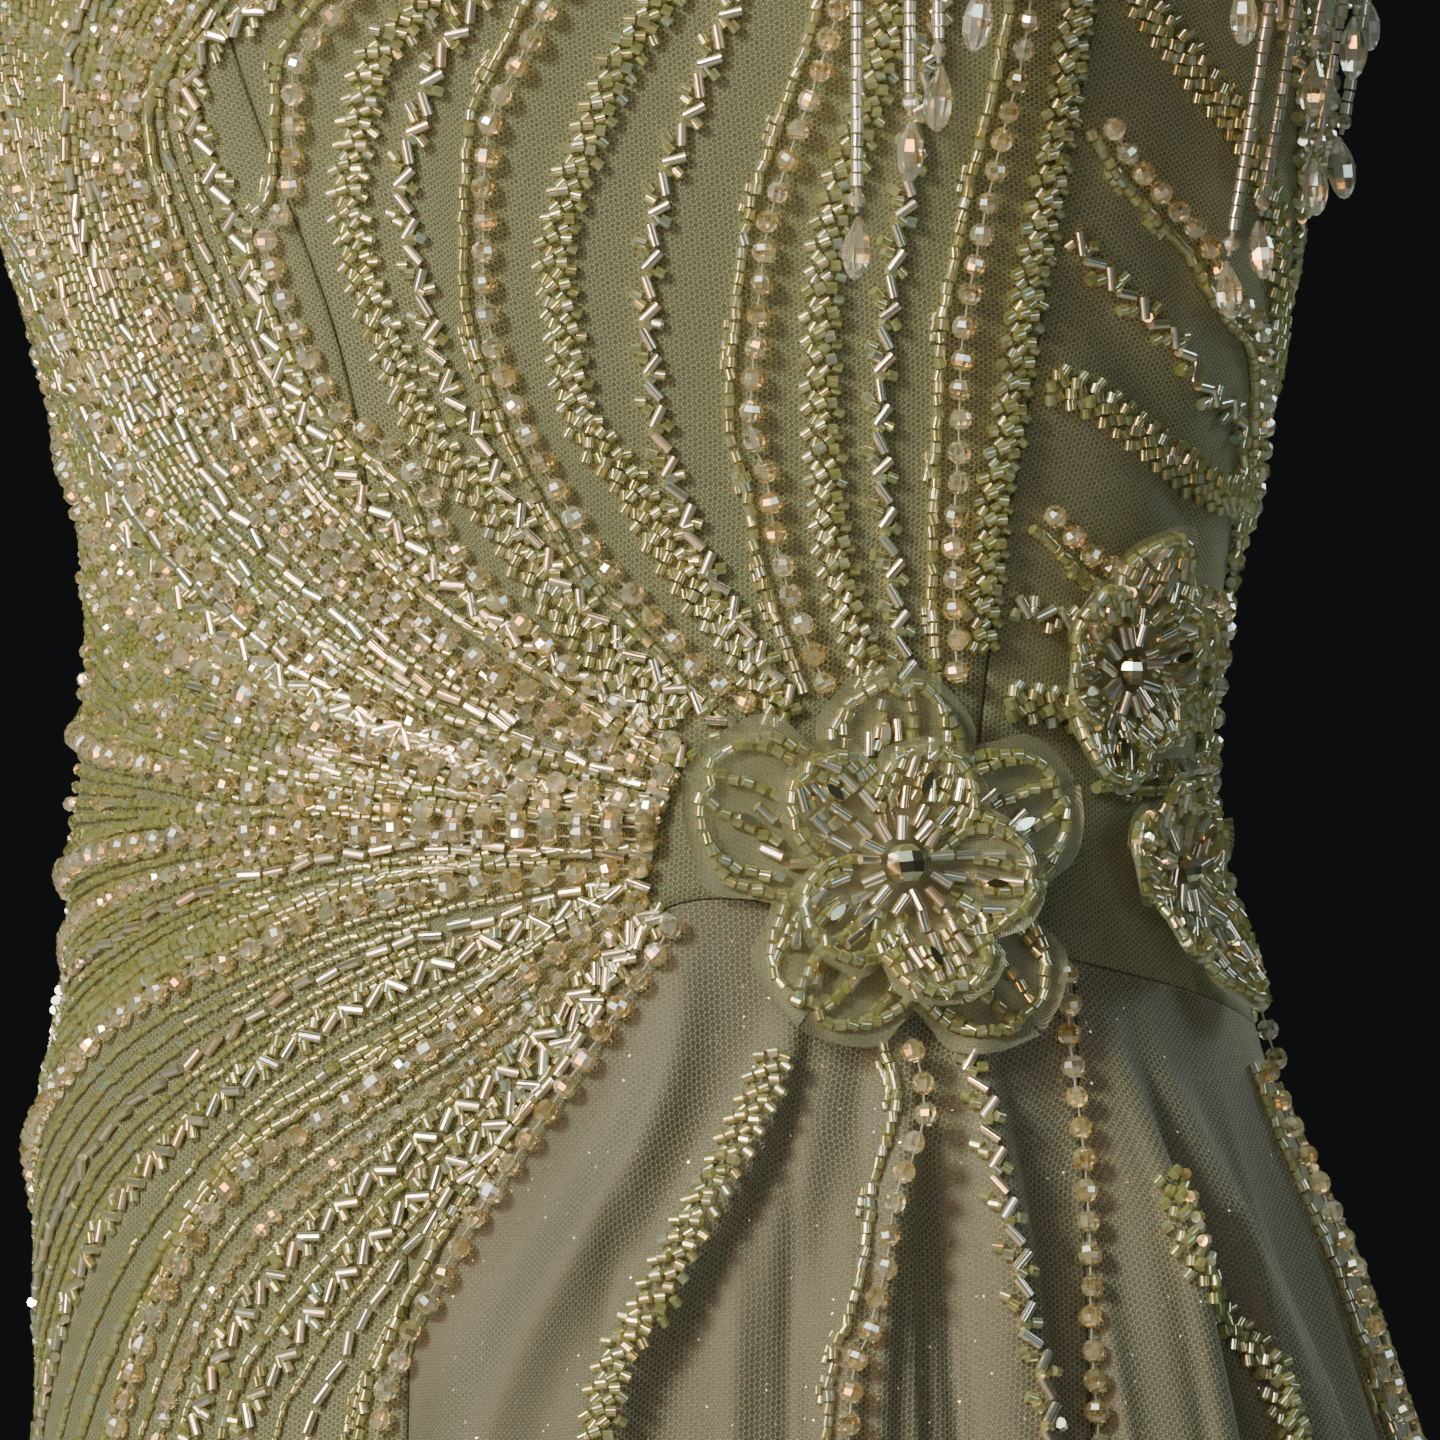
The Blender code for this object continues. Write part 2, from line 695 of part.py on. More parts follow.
def skirt(tulle):
    """Pieces gathered into the hip seam."""
    levels = levels_between(SKIRT_START, LEVELS[-2])
    cloth_panel("skirt_front", tulle, princess_right, skirt_seam, hip_seam, hem, levels, 5, 1, 36)
    cloth_panel("skirt_left", tulle, skirt_seam, fixed(SIDE_BACK_SEAM), hip_seam, hem, levels, 5, 1, 46)


def main():
    clear_scene()
    beaded = material("beaded_tulle", (0.40, 0.38, 0.22), 0.45)
    tulle = material("skirt_tulle", (0.34, 0.31, 0.21), 0.60)
    organza = material("organza", (0.44, 0.42, 0.28), 0.40)
    glass_beads = material("glass_beads", (0.72, 0.73, 0.60), 0.12)
    bodice(beaded)
    long_panels(beaded)
    skirt(tulle)
    strap("strap_left", beaded, 1.0)
    strap("strap_right", beaded, -1.0)
    for name, angle, z, radius, petals, turn, lift, rise in ROSETTES:
        rosette(name, organza, angle, z, radius, petals, turn, lift, rise)
    front_fringe(glass_beads)
    side_fringe(glass_beads)


main()
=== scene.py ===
"""Tulle evening gown: cloth, beadwork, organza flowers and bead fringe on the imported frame."""
import math

import bpy
import numpy as np
from bpy.props import FloatProperty, FloatVectorProperty, PointerProperty
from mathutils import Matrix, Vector


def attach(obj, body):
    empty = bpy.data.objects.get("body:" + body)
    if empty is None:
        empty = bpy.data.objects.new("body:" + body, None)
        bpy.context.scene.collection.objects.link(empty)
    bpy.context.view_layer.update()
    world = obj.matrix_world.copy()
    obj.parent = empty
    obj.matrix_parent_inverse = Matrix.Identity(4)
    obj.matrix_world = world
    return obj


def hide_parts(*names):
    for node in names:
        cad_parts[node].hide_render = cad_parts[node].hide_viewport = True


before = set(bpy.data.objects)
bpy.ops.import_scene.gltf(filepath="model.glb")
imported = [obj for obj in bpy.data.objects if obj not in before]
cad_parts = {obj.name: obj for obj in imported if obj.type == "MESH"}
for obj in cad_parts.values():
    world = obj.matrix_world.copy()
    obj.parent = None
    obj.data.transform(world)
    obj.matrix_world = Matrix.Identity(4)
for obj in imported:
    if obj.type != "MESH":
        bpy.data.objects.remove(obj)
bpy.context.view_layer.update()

bl_info = {
    "name": "Tulle Evening Gown",
    "version": (1, 0, 0),
    "blender": (4, 5, 0),
    "location": "View3D > Sidebar > Gown",
    "description": "Builds a beaded tulle evening gown in its worn shape",
    "category": "Object",
}

# ---------- the cut, as in the frame
ROUNDNESS = 2.2
HEM_Z = -1.420
WAIST_Z = -0.400
THIGH_Z = -0.553
FOLD_TOP_Z = -0.460
FOLD_GROWTH = 0.055
HEM_SPREAD = 1.15
BUST_Z = -0.238
BUST_X = 0.078
BUST_RISE = 0.017
BUST_SPREAD_X = 0.050
BUST_SPREAD_Z = 0.044

SECTIONS = (
    # z      right   left    front   back
    (-0.150, 0.1360, 0.1360, 0.0880, 0.0960),
    (-0.200, 0.1410, 0.1410, 0.0985, 0.0980),
    (-0.238, 0.1400, 0.1405, 0.1010, 0.0970),
    (-0.285, 0.1320, 0.1335, 0.0965, 0.0920),
    (-0.325, 0.1215, 0.1260, 0.0920, 0.0880),
    (-0.363, 0.1105, 0.1182, 0.0880, 0.0850),
    (-0.400, 0.1070, 0.1108, 0.0860, 0.0840),
    (-0.430, 0.1100, 0.1088, 0.0890, 0.0870),
    (-0.460, 0.1115, 0.1158, 0.0940, 0.0940),
    (-0.495, 0.1168, 0.1260, 0.0990, 0.1030),
    (-0.553, 0.1170, 0.1450, 0.1060, 0.1140),
    (-0.640, 0.1230, 0.1780, 0.1170, 0.1250),
    (-0.800, 0.1310, 0.2280, 0.1400, 0.1480),
    (-1.000, 0.1440, 0.2750, 0.1700, 0.1820),
    (-1.200, 0.1630, 0.3080, 0.2000, 0.2180),
    (-1.420, 0.1880, 0.3330, 0.2320, 0.2560),
)
PRINCESS_RIGHT = (
    # z      x
    (-0.160, -0.0860),
    (-0.238, -0.0860),
    (-0.297, -0.0729),
    (-0.315, -0.0655),
    (-0.338, -0.0570),
    (-0.352, -0.0525),
    (-0.400, -0.0480),
    (-0.450, -0.0460),
    (-0.540, -0.0420),
    (-0.800, -0.0560),
    (-1.100, -0.0780),
    (-1.420, -0.1050),
)
PRINCESS_LEFT = (
    # z      x
    (-0.160, 0.0880),
    (-0.238, 0.0890),
    (-0.280, 0.0849),
    (-0.315, 0.0781),
    (-0.339, 0.0748),
    (-0.368, 0.0701),
    (-0.391, 0.0662),
    (-0.470, 0.0580),
)
SKIRT_SEAM = (
    # z      angle
    (-0.440, 50.0),
    (-0.553, 42.7),
    (-0.800, 38.0),
    (-1.420, 34.6),
)
HIP_SEAM = (
    # angle  z
    (-23.0, -0.5400),
    (-20.8, -0.5090),
    (-14.8, -0.4920),
    (-10.6, -0.4770),
    (-4.3, -0.4570),
    (5.9, -0.4460),
    (28.0, -0.4500),
    (60.0, -0.4620),
    (92.0, -0.4750),
    (146.0, -0.4900),
)
TOP_EDGE = (
    # angle  z
    (0.0, -0.1920),
    (25.0, -0.1830),
    (40.0, -0.1660),
    (56.0, -0.1660),
    (72.0, -0.1940),
    (92.0, -0.2120),
    (120.0, -0.2020),
    (137.0, -0.1860),
    (153.0, -0.1860),
    (180.0, -0.2010),
)
FOLDS = (
    # top    thigh   hem    rise_thigh rise_hem spread_right spread_left
    (5.0, -15.6, -24.0, 0.0055, 0.0150, 6.5, 6.0),
    (17.5, -3.8, -12.0, 0.0065, 0.0180, 6.0, 3.0),
    (22.0, 8.0, -2.0, 0.0020, 0.0110, 5.0, 5.0),
    (28.5, 20.7, 9.0, 0.0075, 0.0210, 6.0, 4.2),
    (36.0, 35.8, 24.0, 0.0070, 0.0200, 4.0, 4.2),
    (52.0, 52.0, 44.0, 0.0105, 0.0280, 5.5, 4.0),
    (57.0, 64.5, 58.0, 0.0070, 0.0260, 4.2, 4.2),
    (76.0, 78.0, 71.0, 0.0055, 0.0240, 5.0, 5.0),
    (93.0, 93.0, 86.0, 0.0060, 0.0270, 5.5, 5.0),
    (110.0, 108.0, 102.0, 0.0040, 0.0220, 5.0, 5.5),
    (126.0, 124.0, 118.0, 0.0050, 0.0260, 5.5, 5.0),
    (141.0, 139.0, 134.0, 0.0030, 0.0200, 5.0, 5.0),
    (155.0, 155.0, 150.0, 0.0020, 0.0240, 5.5, 6.0),
    (170.0, 171.0, 168.0, 0.0010, 0.0180, 6.0, 6.0),
    (190.0, 190.0, 190.0, 0.0010, 0.0200, 6.5, 6.0),
    (209.0, 209.0, 211.0, 0.0000, 0.0150, 7.0, 6.5),
    (232.0, 232.0, 233.0, 0.0000, 0.0120, 8.0, 7.0),
    (256.0, 256.0, 257.0, 0.0000, 0.0100, 8.0, 8.0),
    (283.0, 283.0, 284.0, 0.0000, 0.0110, 8.0, 8.0),
    (309.0, 309.0, 308.0, 0.0000, 0.0120, 7.5, 7.5),
)
SIDE_SEAM = 92.0
SIDE_BACK_SEAM = 146.0
CENTRE_BACK = 180.0

# Small creases that the scene adds: where they start, where they end, how deep.
CREASES = (
    # angle0 z0      angle1 z1      rise     spread in metres
    (-1.0, -0.470, -17.0, -0.900, -0.0016, 0.0035),
    (11.0, -0.465, 0.0, -1.100, 0.0022, 0.0040),
    (17.0, -0.462, 6.0, -0.820, -0.0018, 0.0024),
    (24.0, -0.462, 14.0, -0.760, -0.0022, 0.0026),
    (27.5, -0.462, 21.0, -0.880, 0.0022, 0.0022),
    (31.0, -0.462, 29.0, -0.900, -0.0032, 0.0026),
    (38.0, -0.462, 37.0, -0.840, 0.0018, 0.0024),
    (45.5, -0.460, 46.0, -0.860, 0.0026, 0.0028),
    (50.0, -0.460, 52.0, -0.900, -0.0022, 0.0022),
    (55.0, -0.458, 58.5, -0.980, -0.0030, 0.0026),
    (60.5, -0.460, 65.0, -0.900, 0.0020, 0.0024),
    (66.0, -0.465, 71.0, -0.900, 0.0024, 0.0034),
    (75.0, -0.470, 79.0, -0.900, -0.0020, 0.0030),
    (84.0, -0.475, 86.0, -1.000, -0.0020, 0.0040),
    (101.0, -0.480, 100.0, -0.850, 0.0018, 0.0036),
    (117.0, -0.484, 116.0, -0.950, -0.0018, 0.0040),
    (133.0, -0.488, 131.0, -0.800, 0.0016, 0.0036),
    # soft diagonal gathers of the left side panel
    (44.0, -0.300, 72.0, -0.372, 0.0012, 0.0050),
    (43.0, -0.318, 80.0, -0.402, -0.0010, 0.0040),
    (42.0, -0.338, 76.0, -0.405, 0.0012, 0.0050),
    (42.0, -0.362, 66.0, -0.404, -0.0009, 0.0040),
    (48.0, -0.276, 88.0, -0.352, -0.0010, 0.0050),
    (60.0, -0.268, 90.0, -0.325, 0.0010, 0.0060),
    # the same on the hidden back panels
    (104.0, -0.300, 138.0, -0.380, 0.0009, 0.0060),
    (112.0, -0.280, 140.0, -0.340, -0.0009, 0.0060),
    (-104.0, -0.300, -138.0, -0.390, 0.0008, 0.0060),
    (-118.0, -0.420, -150.0, -0.450, -0.0009, 0.0060),
)

# ---------- the view
VIEW_DISTANCE = 1.600    # from the gown's axis
VIEW_X = 0.015
VIEW_Z = -0.4127
VIEW_WIDTH = 0.2808      # what the frame covers at the axis
FRAME_PIXELS = 1440      # pixels along each side of the frame
SENSOR = 36.0
FLOOR_RADIUS = 4.0
FLOOR_GAP = 0.001

SEED = 11


# ---------- reading the cut's tables
def hermite(keys, values, at):
    """Smooth curve through a table's rows, read at many places at once."""
    keys = np.asarray(keys, float)
    values = np.asarray(values, float)
    last = len(keys) - 1
    i = np.clip(np.searchsorted(keys, at, "right") - 1, 0, last - 1)
    before = np.maximum(np.arange(last + 1) - 1, 0)
    after = np.minimum(np.arange(last + 1) + 1, last)
    slopes = (values[after] - values[before]) / (keys[after] - keys[before])
    step = keys[i + 1] - keys[i]
    t = np.clip((at - keys[i]) / step, 0.0, 1.0)
    t2 = t * t
    t3 = t2 * t
    return (
        values[i] * (2 * t3 - 3 * t2 + 1)
        + slopes[i] * step * (t3 - 2 * t2 + t)
        + values[i + 1] * (3 * t2 - 2 * t3)
        + slopes[i + 1] * step * (t3 - t2)
    )


def down_curve(table, z, column=1):
    """A table whose first column is a falling height, read smoothly."""
    return hermite([-row[0] for row in table], [row[column] for row in table], -np.asarray(z, float))


def smooth_step(x):
    x = np.clip(x, 0.0, 1.0)
    return x * x * (3.0 - 2.0 * x)


def turned(angle):
    """Angles behind the wearer's right side, given as negatives for the seam tables."""
    angle = np.asarray(angle, float)
    return np.where(angle > 185.0, angle - 360.0, angle)


def oval(angle, z):
    a = np.radians(angle)
    across = np.where(np.sin(a) >= 0.0, down_curve(SECTIONS, z, 2), down_curve(SECTIONS, z, 1))
    deep = np.where(np.cos(a) >= 0.0, down_curve(SECTIONS, z, 3), down_curve(SECTIONS, z, 4))
    share = (np.abs(np.sin(a)) / across) ** ROUNDNESS + (np.abs(np.cos(a)) / deep) ** ROUNDNESS
    return share ** (-1.0 / ROUNDNESS)


def hip_curve(angle):
    return hermite([row[0] for row in HIP_SEAM], [row[1] for row in HIP_SEAM], turned(angle))


HIP_EASE = (-2.0, -1.0, 0.0, 1.0, 2.0)                 # degrees
SEAM_EASE = (-0.016, -0.008, 0.0, 0.008, 0.016)         # metres


def hip_seam(angle):
    """The hip seam, its corners eased."""
    angle = np.asarray(angle, float)
    return sum(hip_curve(angle + step) for step in HIP_EASE) / len(HIP_EASE)


def top_edge(angle):
    a = np.abs(np.asarray(angle, float))
    a = np.where(a > 180.0, 360.0 - a, a)
    return np.interp(a, [row[0] for row in TOP_EDGE], [row[1] for row in TOP_EDGE])


def hem(angle):
    return np.full(np.shape(angle), HEM_Z)


def fold_rise(angle, z):
    growth = smooth_step((hip_curve(angle) - z) / FOLD_GROWTH)
    upper = smooth_step((FOLD_TOP_Z - z) / (FOLD_TOP_Z - THIGH_Z))
    fall = np.clip((THIGH_Z - z) / (THIGH_Z - HEM_Z), 0.0, 1.0)
    lower = smooth_step(fall) * 0.5 + 0.5 * fall
    above = z >= THIGH_Z
    total = np.zeros(np.shape(angle))
    for top, thigh, hem_angle, rise_thigh, rise_hem, spread_right, spread_left in FOLDS:
        centre = np.where(above, top + (thigh - top) * upper, thigh + (hem_angle - thigh) * lower)
        rise = rise_thigh + (rise_hem - rise_thigh) * lower
        widen = np.where(above, 0.45 + 0.55 * upper, 1.0 + (HEM_SPREAD - 1.0) * lower)
        offset = (angle - centre + 180.0) % 360.0 - 180.0
        spread = np.where(offset < 0.0, spread_right, spread_left) * widen
        total = total + rise * np.exp(-((offset / spread) ** 2))
    return total * growth


def surface(angle, z):
    """Points of the gown's outer face for arrays of angles (degrees) and heights."""
    angle, z = np.broadcast_arrays(np.asarray(angle, float), np.asarray(z, float))
    a = np.radians(angle)
    r = oval(angle, z) + fold_rise(angle, z)
    x = r * np.sin(a)
    y = -r * np.cos(a)
    cup = (y < 0.0) & (z > WAIST_Z)
    for side in (-BUST_X, BUST_X):
        near = ((x - side) / BUST_SPREAD_X) ** 2 + ((z - BUST_Z) / BUST_SPREAD_Z) ** 2
        y = y - np.where(cup, BUST_RISE * np.exp(-near) * smooth_step(-y / 0.04), 0.0)
    return np.stack([x, y, z], axis=-1)


TURN_STEP = 0.25         # degrees over which the cloth's slope is read across
DROP_STEP = 0.0015       # metres over which it is read down


def outward(angle, z):
    angle, z = np.asarray(angle), np.asarray(z)
    across = surface(angle + TURN_STEP, z) - surface(angle - TURN_STEP, z)
    down = surface(angle, z - DROP_STEP) - surface(angle, z + DROP_STEP)
    n = np.cross(down, across)
    return n / np.linalg.norm(n, axis=-1, keepdims=True)


def per_degree(angle, z):
    step = surface(np.asarray(angle) + 0.5, z) - surface(np.asarray(angle) - 0.5, z)
    return np.linalg.norm(step, axis=-1)


CREASE_START = 0.25      # share of a crease's length in which it deepens
CREASE_END = 0.35        # share in which it fades out


def crease_rise(angle, z):
    """Depth of the small creases at places of the cloth."""
    total = np.zeros(np.shape(z))
    flat_angle = (np.asarray(angle) + 180.0) % 360.0 - 180.0
    for angle0, z0, angle1, z1, rise, spread in CREASES:
        scale = float(per_degree((angle0 + angle1) / 2, (z0 + z1) / 2))
        ax, ay = (angle1 - angle0) * scale, z1 - z0
        px, py = (flat_angle - angle0) * scale, z - z0
        length2 = ax * ax + ay * ay
        t = np.clip((px * ax + py * ay) / length2, 0.0, 1.0)
        distance2 = (px - ax * t) ** 2 + (py - ay * t) ** 2
        fade = smooth_step(t / CREASE_START) * smooth_step((1.0 - t) / CREASE_END)
        total = total + rise * fade * np.exp(-distance2 / spread ** 2)
    return total


def front_angle(x, z):
    across = np.where(x >= 0.0, down_curve(SECTIONS, z, 2), down_curve(SECTIONS, z, 1))
    deep = down_curve(SECTIONS, z, 3)
    y = deep * (1.0 - (np.abs(x) / across) ** ROUNDNESS) ** (1.0 / ROUNDNESS)
    return np.degrees(np.arctan2(x, y))


def eased(table, z):
    """A seam's table read smoothly, its corners eased over a few centimetres."""
    z = np.asarray(z, float)
    return sum(down_curve(table, z + step) for step in SEAM_EASE) / len(SEAM_EASE)


def princess_right(z):
    return front_angle(eased(PRINCESS_RIGHT, z), z)


def princess_left(z):
    return front_angle(eased(PRINCESS_LEFT, z), z)


def skirt_seam(z):
    return down_curve(SKIRT_SEAM, z)


def fixed(angle):
    return lambda z: np.full(np.shape(z), angle)


# ---------- places seen from the front
def catmull(points, spacing):
    """Evenly spaced points on a smooth curve through the given ones (2-D or 3-D)."""
    points = np.asarray(points, float)
    ends = np.vstack([2 * points[0] - points[1], points, 2 * points[-1] - points[-2]])
    fine = []
    for i in range(1, len(ends) - 2):
        t = np.linspace(0.0, 1.0, 24, endpoint=False)[:, None]
        a, b, c, d = ends[i - 1], ends[i], ends[i + 1], ends[i + 2]
        fine.append(0.5 * (2 * b + (c - a) * t + (2 * a - 5 * b + 4 * c - d) * t ** 2
                           + (3 * b - a - 3 * c + d) * t ** 3))
    fine.append(ends[-2][None])
    fine = np.vstack(fine)
    travel = travelled(fine)
    count = max(2, int(round(travel[-1] / spacing)) + 1)
    wanted = np.linspace(0.0, travel[-1], count)
    return np.stack([np.interp(wanted, travel, fine[:, k]) for k in range(fine.shape[1])], axis=1)


SEARCH_SIDE = 125.0      # degrees to each side of the front where seen places are sought
SEARCH_STEPS = (0.5, 0.05, 0.005)
FRONT_DEPTH = 0.09       # about how far the front lies before the axis
BACK_PENALTY = 0.02      # keeps the search on the near side


def seen_places(pixels):
    """Angle and height of the cloth seen at places of the frame, x and y from its top left."""
    pixels = np.asarray(pixels, float)
    scale = VIEW_WIDTH / FRAME_PIXELS / VIEW_DISTANCE
    right = (pixels[:, :1] - FRAME_PIXELS / 2) * scale
    up = -(pixels[:, 1:] - FRAME_PIXELS / 2) * scale
    first = SEARCH_STEPS[0]
    window = np.tile(np.arange(-SEARCH_SIDE, SEARCH_SIDE + first / 50, first), (len(pixels), 1))
    pick = np.arange(len(pixels))
    for step in SEARCH_STEPS:
        depth = np.full(window.shape, VIEW_DISTANCE - FRONT_DEPTH)
        for _ in range(6):
            z = VIEW_Z + up * depth
            places = surface(window, z)
            depth = VIEW_DISTANCE + places[..., 1]
        behind = BACK_PENALTY * np.maximum(0.0, places[..., 1])
        miss = np.abs(places[..., 0] - (VIEW_X + right * depth)) + behind
        best = np.argmin(miss, axis=1)
        angle = window[pick, best]
        height = z[pick, best]
        window = angle[:, None] + np.arange(-step, step, step / 10)[None, :]
    return [(float(a), float(h)) for a, h in zip(angle, height)]


# ---------- materials
def feed(tree, made, inputs):
    """Gives a node its inputs, by name or number, each as a value or as a socket to link."""
    for key, value in inputs.items():
        if isinstance(value, bpy.types.NodeSocket):
            tree.links.new(value, made.inputs[key])
        else:
            made.inputs[key].default_value = value


def node(tree, kind, inputs=None, **settings):
    """Adds a node with its settings and inputs."""
    made = tree.nodes.new(kind)
    for key, value in settings.items():
        setattr(made, key, value)
    feed(tree, made, inputs or {})
    return made


def maths(tree, operation, first, second=None, third=None):
    given = {i: v for i, v in enumerate((first, second, third)) if v is not None}
    return node(tree, "ShaderNodeMath", given, operation=operation).outputs[0]


def blend_colour(tree, share, first, second, way="MIX"):
    """Two colours mixed; sockets or values."""
    inputs = {0: share, 6: first, 7: second}
    return node(tree, "ShaderNodeMix", inputs, data_type="RGBA", blend_type=way).outputs[2]


def ramp(tree, share, stops):
    """A colour ramp through (place, colour) stops."""
    made = node(tree, "ShaderNodeValToRGB", {0: share})
    points = made.color_ramp.elements
    while len(points) > 1:
        points.remove(points[-1])
    points[0].position, points[0].color = stops[0][0], (*stops[0][1], 1.0)
    for place, colour in stops[1:]:
        points.new(place).color = (*colour, 1.0)
    return made.outputs[0]


def smooth_range(tree, value, low, high, to_low=0.0, to_high=1.0):
    inputs = {0: value, 1: low, 2: high, 3: to_low, 4: to_high}
    return node(tree, "ShaderNodeMapRange", inputs, interpolation_type="SMOOTHSTEP").outputs[0]


def clouds(tree, place, scale, detail):
    inputs = {"Vector": place, "Scale": scale, "Detail": detail}
    return node(tree, "ShaderNodeTexNoise", inputs)


def blank_material(name):
    """A material with a Principled shader, its node tree and the shader."""
    made = bpy.data.materials.new(name)
    made.use_nodes = True
    return made, made.node_tree, made.node_tree.nodes["Principled BSDF"]


def net_holes(tree, place, cell, turn):
    """Hexagonal net on a place in metres: 1 in its holes and 0 on its threads."""
    wave = 4.0 * math.pi / (math.sqrt(3.0) * cell)
    total = None
    for bearing in (0.0, 120.0, 240.0):
        a = math.radians(bearing + turn)
        direction = (wave * math.cos(a), wave * math.sin(a), 0.0)
        reach = node(tree, "ShaderNodeVectorMath", {0: place, 1: direction}, operation="DOT_PRODUCT")
        wavelet = maths(tree, "COSINE", reach.outputs["Value"])
        total = wavelet if total is None else maths(tree, "ADD", total, wavelet)
    return smooth_range(tree, total, -1.30, -0.35)


# How net is pulled out of true: waves for a metre, and how far in metres.
NET_PULLS = ((28.0, 0.0020), (260.0, 0.0005))


def cloth_place(tree):
    """Place on the cloth in metres, u across and v down, bent a little as pulled net is."""
    uv = node(tree, "ShaderNodeUVMap", uv_map="weave").outputs[0]
    place = uv
    for scale, reach in NET_PULLS:
        drift = clouds(tree, uv, scale, 1.0).outputs[1]
        pulled = node(tree, "ShaderNodeVectorMath", {0: drift, 1: (0.5, 0.5, 0.5)}, operation="SUBTRACT")
        small = node(tree, "ShaderNodeVectorMath", {0: pulled.outputs[0], "Scale": reach}, operation="SCALE")
        inputs = {0: place, 1: small.outputs[0]}
        place = node(tree, "ShaderNodeVectorMath", inputs, operation="ADD").outputs[0]
    return place


FLECK_CELLS = 620.0      # places for a fleck of glitter in a metre


def tulle_on_ground(name, colours, cell, depth, flecks=0.0):
    """Opaque cloth: a hexagonal net lying on its ground cloth, with a second net just below drawn in the
    darker shade colour as painted shade.
    """
    made, tree, shader = blank_material(name)
    thread, ground, shade = colours
    place = cloth_place(tree)
    holes = net_holes(tree, place, cell, 0.0)
    below = net_holes(tree, place, cell * 0.93, 19.0)
    # painted shade: the net below takes the darker shade colour instead of its thread colour
    seen = blend_colour(tree, below, (*shade, 1.0), (*ground, 1.0))
    deep = blend_colour(tree, depth, (*thread, 1.0), seen)
    net = blend_colour(tree, holes, (*thread, 1.0), deep)
    cloudy = clouds(tree, place, 9.0, 5.0).outputs[0]
    mottled = blend_colour(tree, smooth_range(tree, cloudy, 0.35, 0.72, 0.0, 0.35), net, (*shade, 1.0))
    if flecks:
        cells = node(tree, "ShaderNodeTexVoronoi", {"Vector": place, "Scale": FLECK_CELLS, "Randomness": 1.0})
        near = smooth_range(tree, cells.outputs["Distance"], 0.10, 0.17, 1.0, 0.0)
        chance = node(tree, "ShaderNodeSeparateColor", {0: cells.outputs["Color"]}).outputs[0]
        lucky = smooth_range(tree, chance, 1.0 - flecks, 1.0 - flecks * 0.9)
        spark = maths(tree, "MULTIPLY", near, lucky)
        colour = blend_colour(tree, spark, mottled, (0.95, 0.93, 0.85, 1.0))
        metal = maths(tree, "MULTIPLY", spark, 0.8)
        roughness = smooth_range(tree, spark, 0.0, 1.0, 0.62, 0.25)
    else:
        colour = mottled
        metal = 0.0
        roughness = smooth_range(tree, holes, 0.0, 1.0, 0.55, 0.85)
    height = maths(tree, "ADD", maths(tree, "MULTIPLY", holes, -1.0), maths(tree, "MULTIPLY", cloudy, 1.5))
    bump = node(tree, "ShaderNodeBump", {"Height": height, "Distance": 0.00022, "Strength": 0.8})
    feed(tree, shader, {
        "Base Color": colour, "Metallic": metal, "Roughness": roughness, "Normal": bump.outputs[0],
        "Sheen Weight": 0.25, "Sheen Roughness": 0.4, "Sheen Tint": (0.95, 0.92, 0.78, 1.0),
        "Specular IOR Level": 0.35,
    })
    return made


def glass_bead(name, stops, bands, cover, metal, roughness, film):
    """Tinted glass: tone gives each bead's colour, the bands give the golden glass round its lining and
    painted shade that darkens it towards its rim as seen, and cover is how much it hides at its middle and at
    its rim."""
    made, tree, shader = blank_material(name)
    tone = node(tree, "ShaderNodeAttribute", attribute_name="tone").outputs["Fac"]
    facet = node(tree, "ShaderNodeAttribute", attribute_name="facet").outputs["Fac"]
    facing = node(tree, "ShaderNodeLayerWeight", {"Blend": 0.5}).outputs["Facing"]
    # painted shade: each bead darker towards its rim as seen, over the golden glass round its lining
    depth = ramp(tree, facing, bands)
    cut = blend_colour(tree, facet, (0.62, 0.62, 0.60, 1.0), (1.0, 1.0, 1.0, 1.0))
    colour = blend_colour(tree, 1.0, ramp(tree, tone, stops), depth, "MULTIPLY")
    colour = blend_colour(tree, smooth_range(tree, facing, 0.1, 0.5, 1.0, 0.2), colour,
                          blend_colour(tree, 1.0, colour, cut, "MULTIPLY"))
    feed(tree, shader, {
        "Base Color": colour,
        "Metallic": smooth_range(tree, facing, 0.2, 0.6, metal, metal * 0.2),
        "Alpha": smooth_range(tree, facing, 0.2, 0.9, *cover),
        "Roughness": smooth_range(tree, facet, 0.0, 1.0, roughness * 1.4, roughness * 0.7),
        "IOR": 1.5, "Coat Weight": 1.0, "Coat Roughness": 0.12, "Coat IOR": 2.6,
        "Thin Film Thickness": film, "Thin Film IOR": 1.45,
    })
    return made


def clear_glass(name, stops, clear, roughness):
    """Cut glass that light passes through, tinted by the bead's own tone."""
    made, tree, shader = blank_material(name)
    tone = node(tree, "ShaderNodeAttribute", attribute_name="tone").outputs["Fac"]
    facet = node(tree, "ShaderNodeAttribute", attribute_name="facet").outputs["Fac"]
    tint = ramp(tree, tone, stops)
    shade = smooth_range(tree, facet, 0.0, 0.8, 0.35, 0.0)
    feed(tree, shader, {
        "Base Color": blend_colour(tree, shade, tint, (0.44, 0.38, 0.14, 1.0)),
        "Transmission Weight": smooth_range(tree, facet, 0.1, 0.9, clear, clear - 0.35),
        "Roughness": smooth_range(tree, facet, 0.0, 1.0, roughness * 1.6, roughness * 0.6),
        "IOR": 1.58, "Coat Weight": 1.0, "Coat Roughness": 0.08, "Coat IOR": 2.2,
    })
    return made


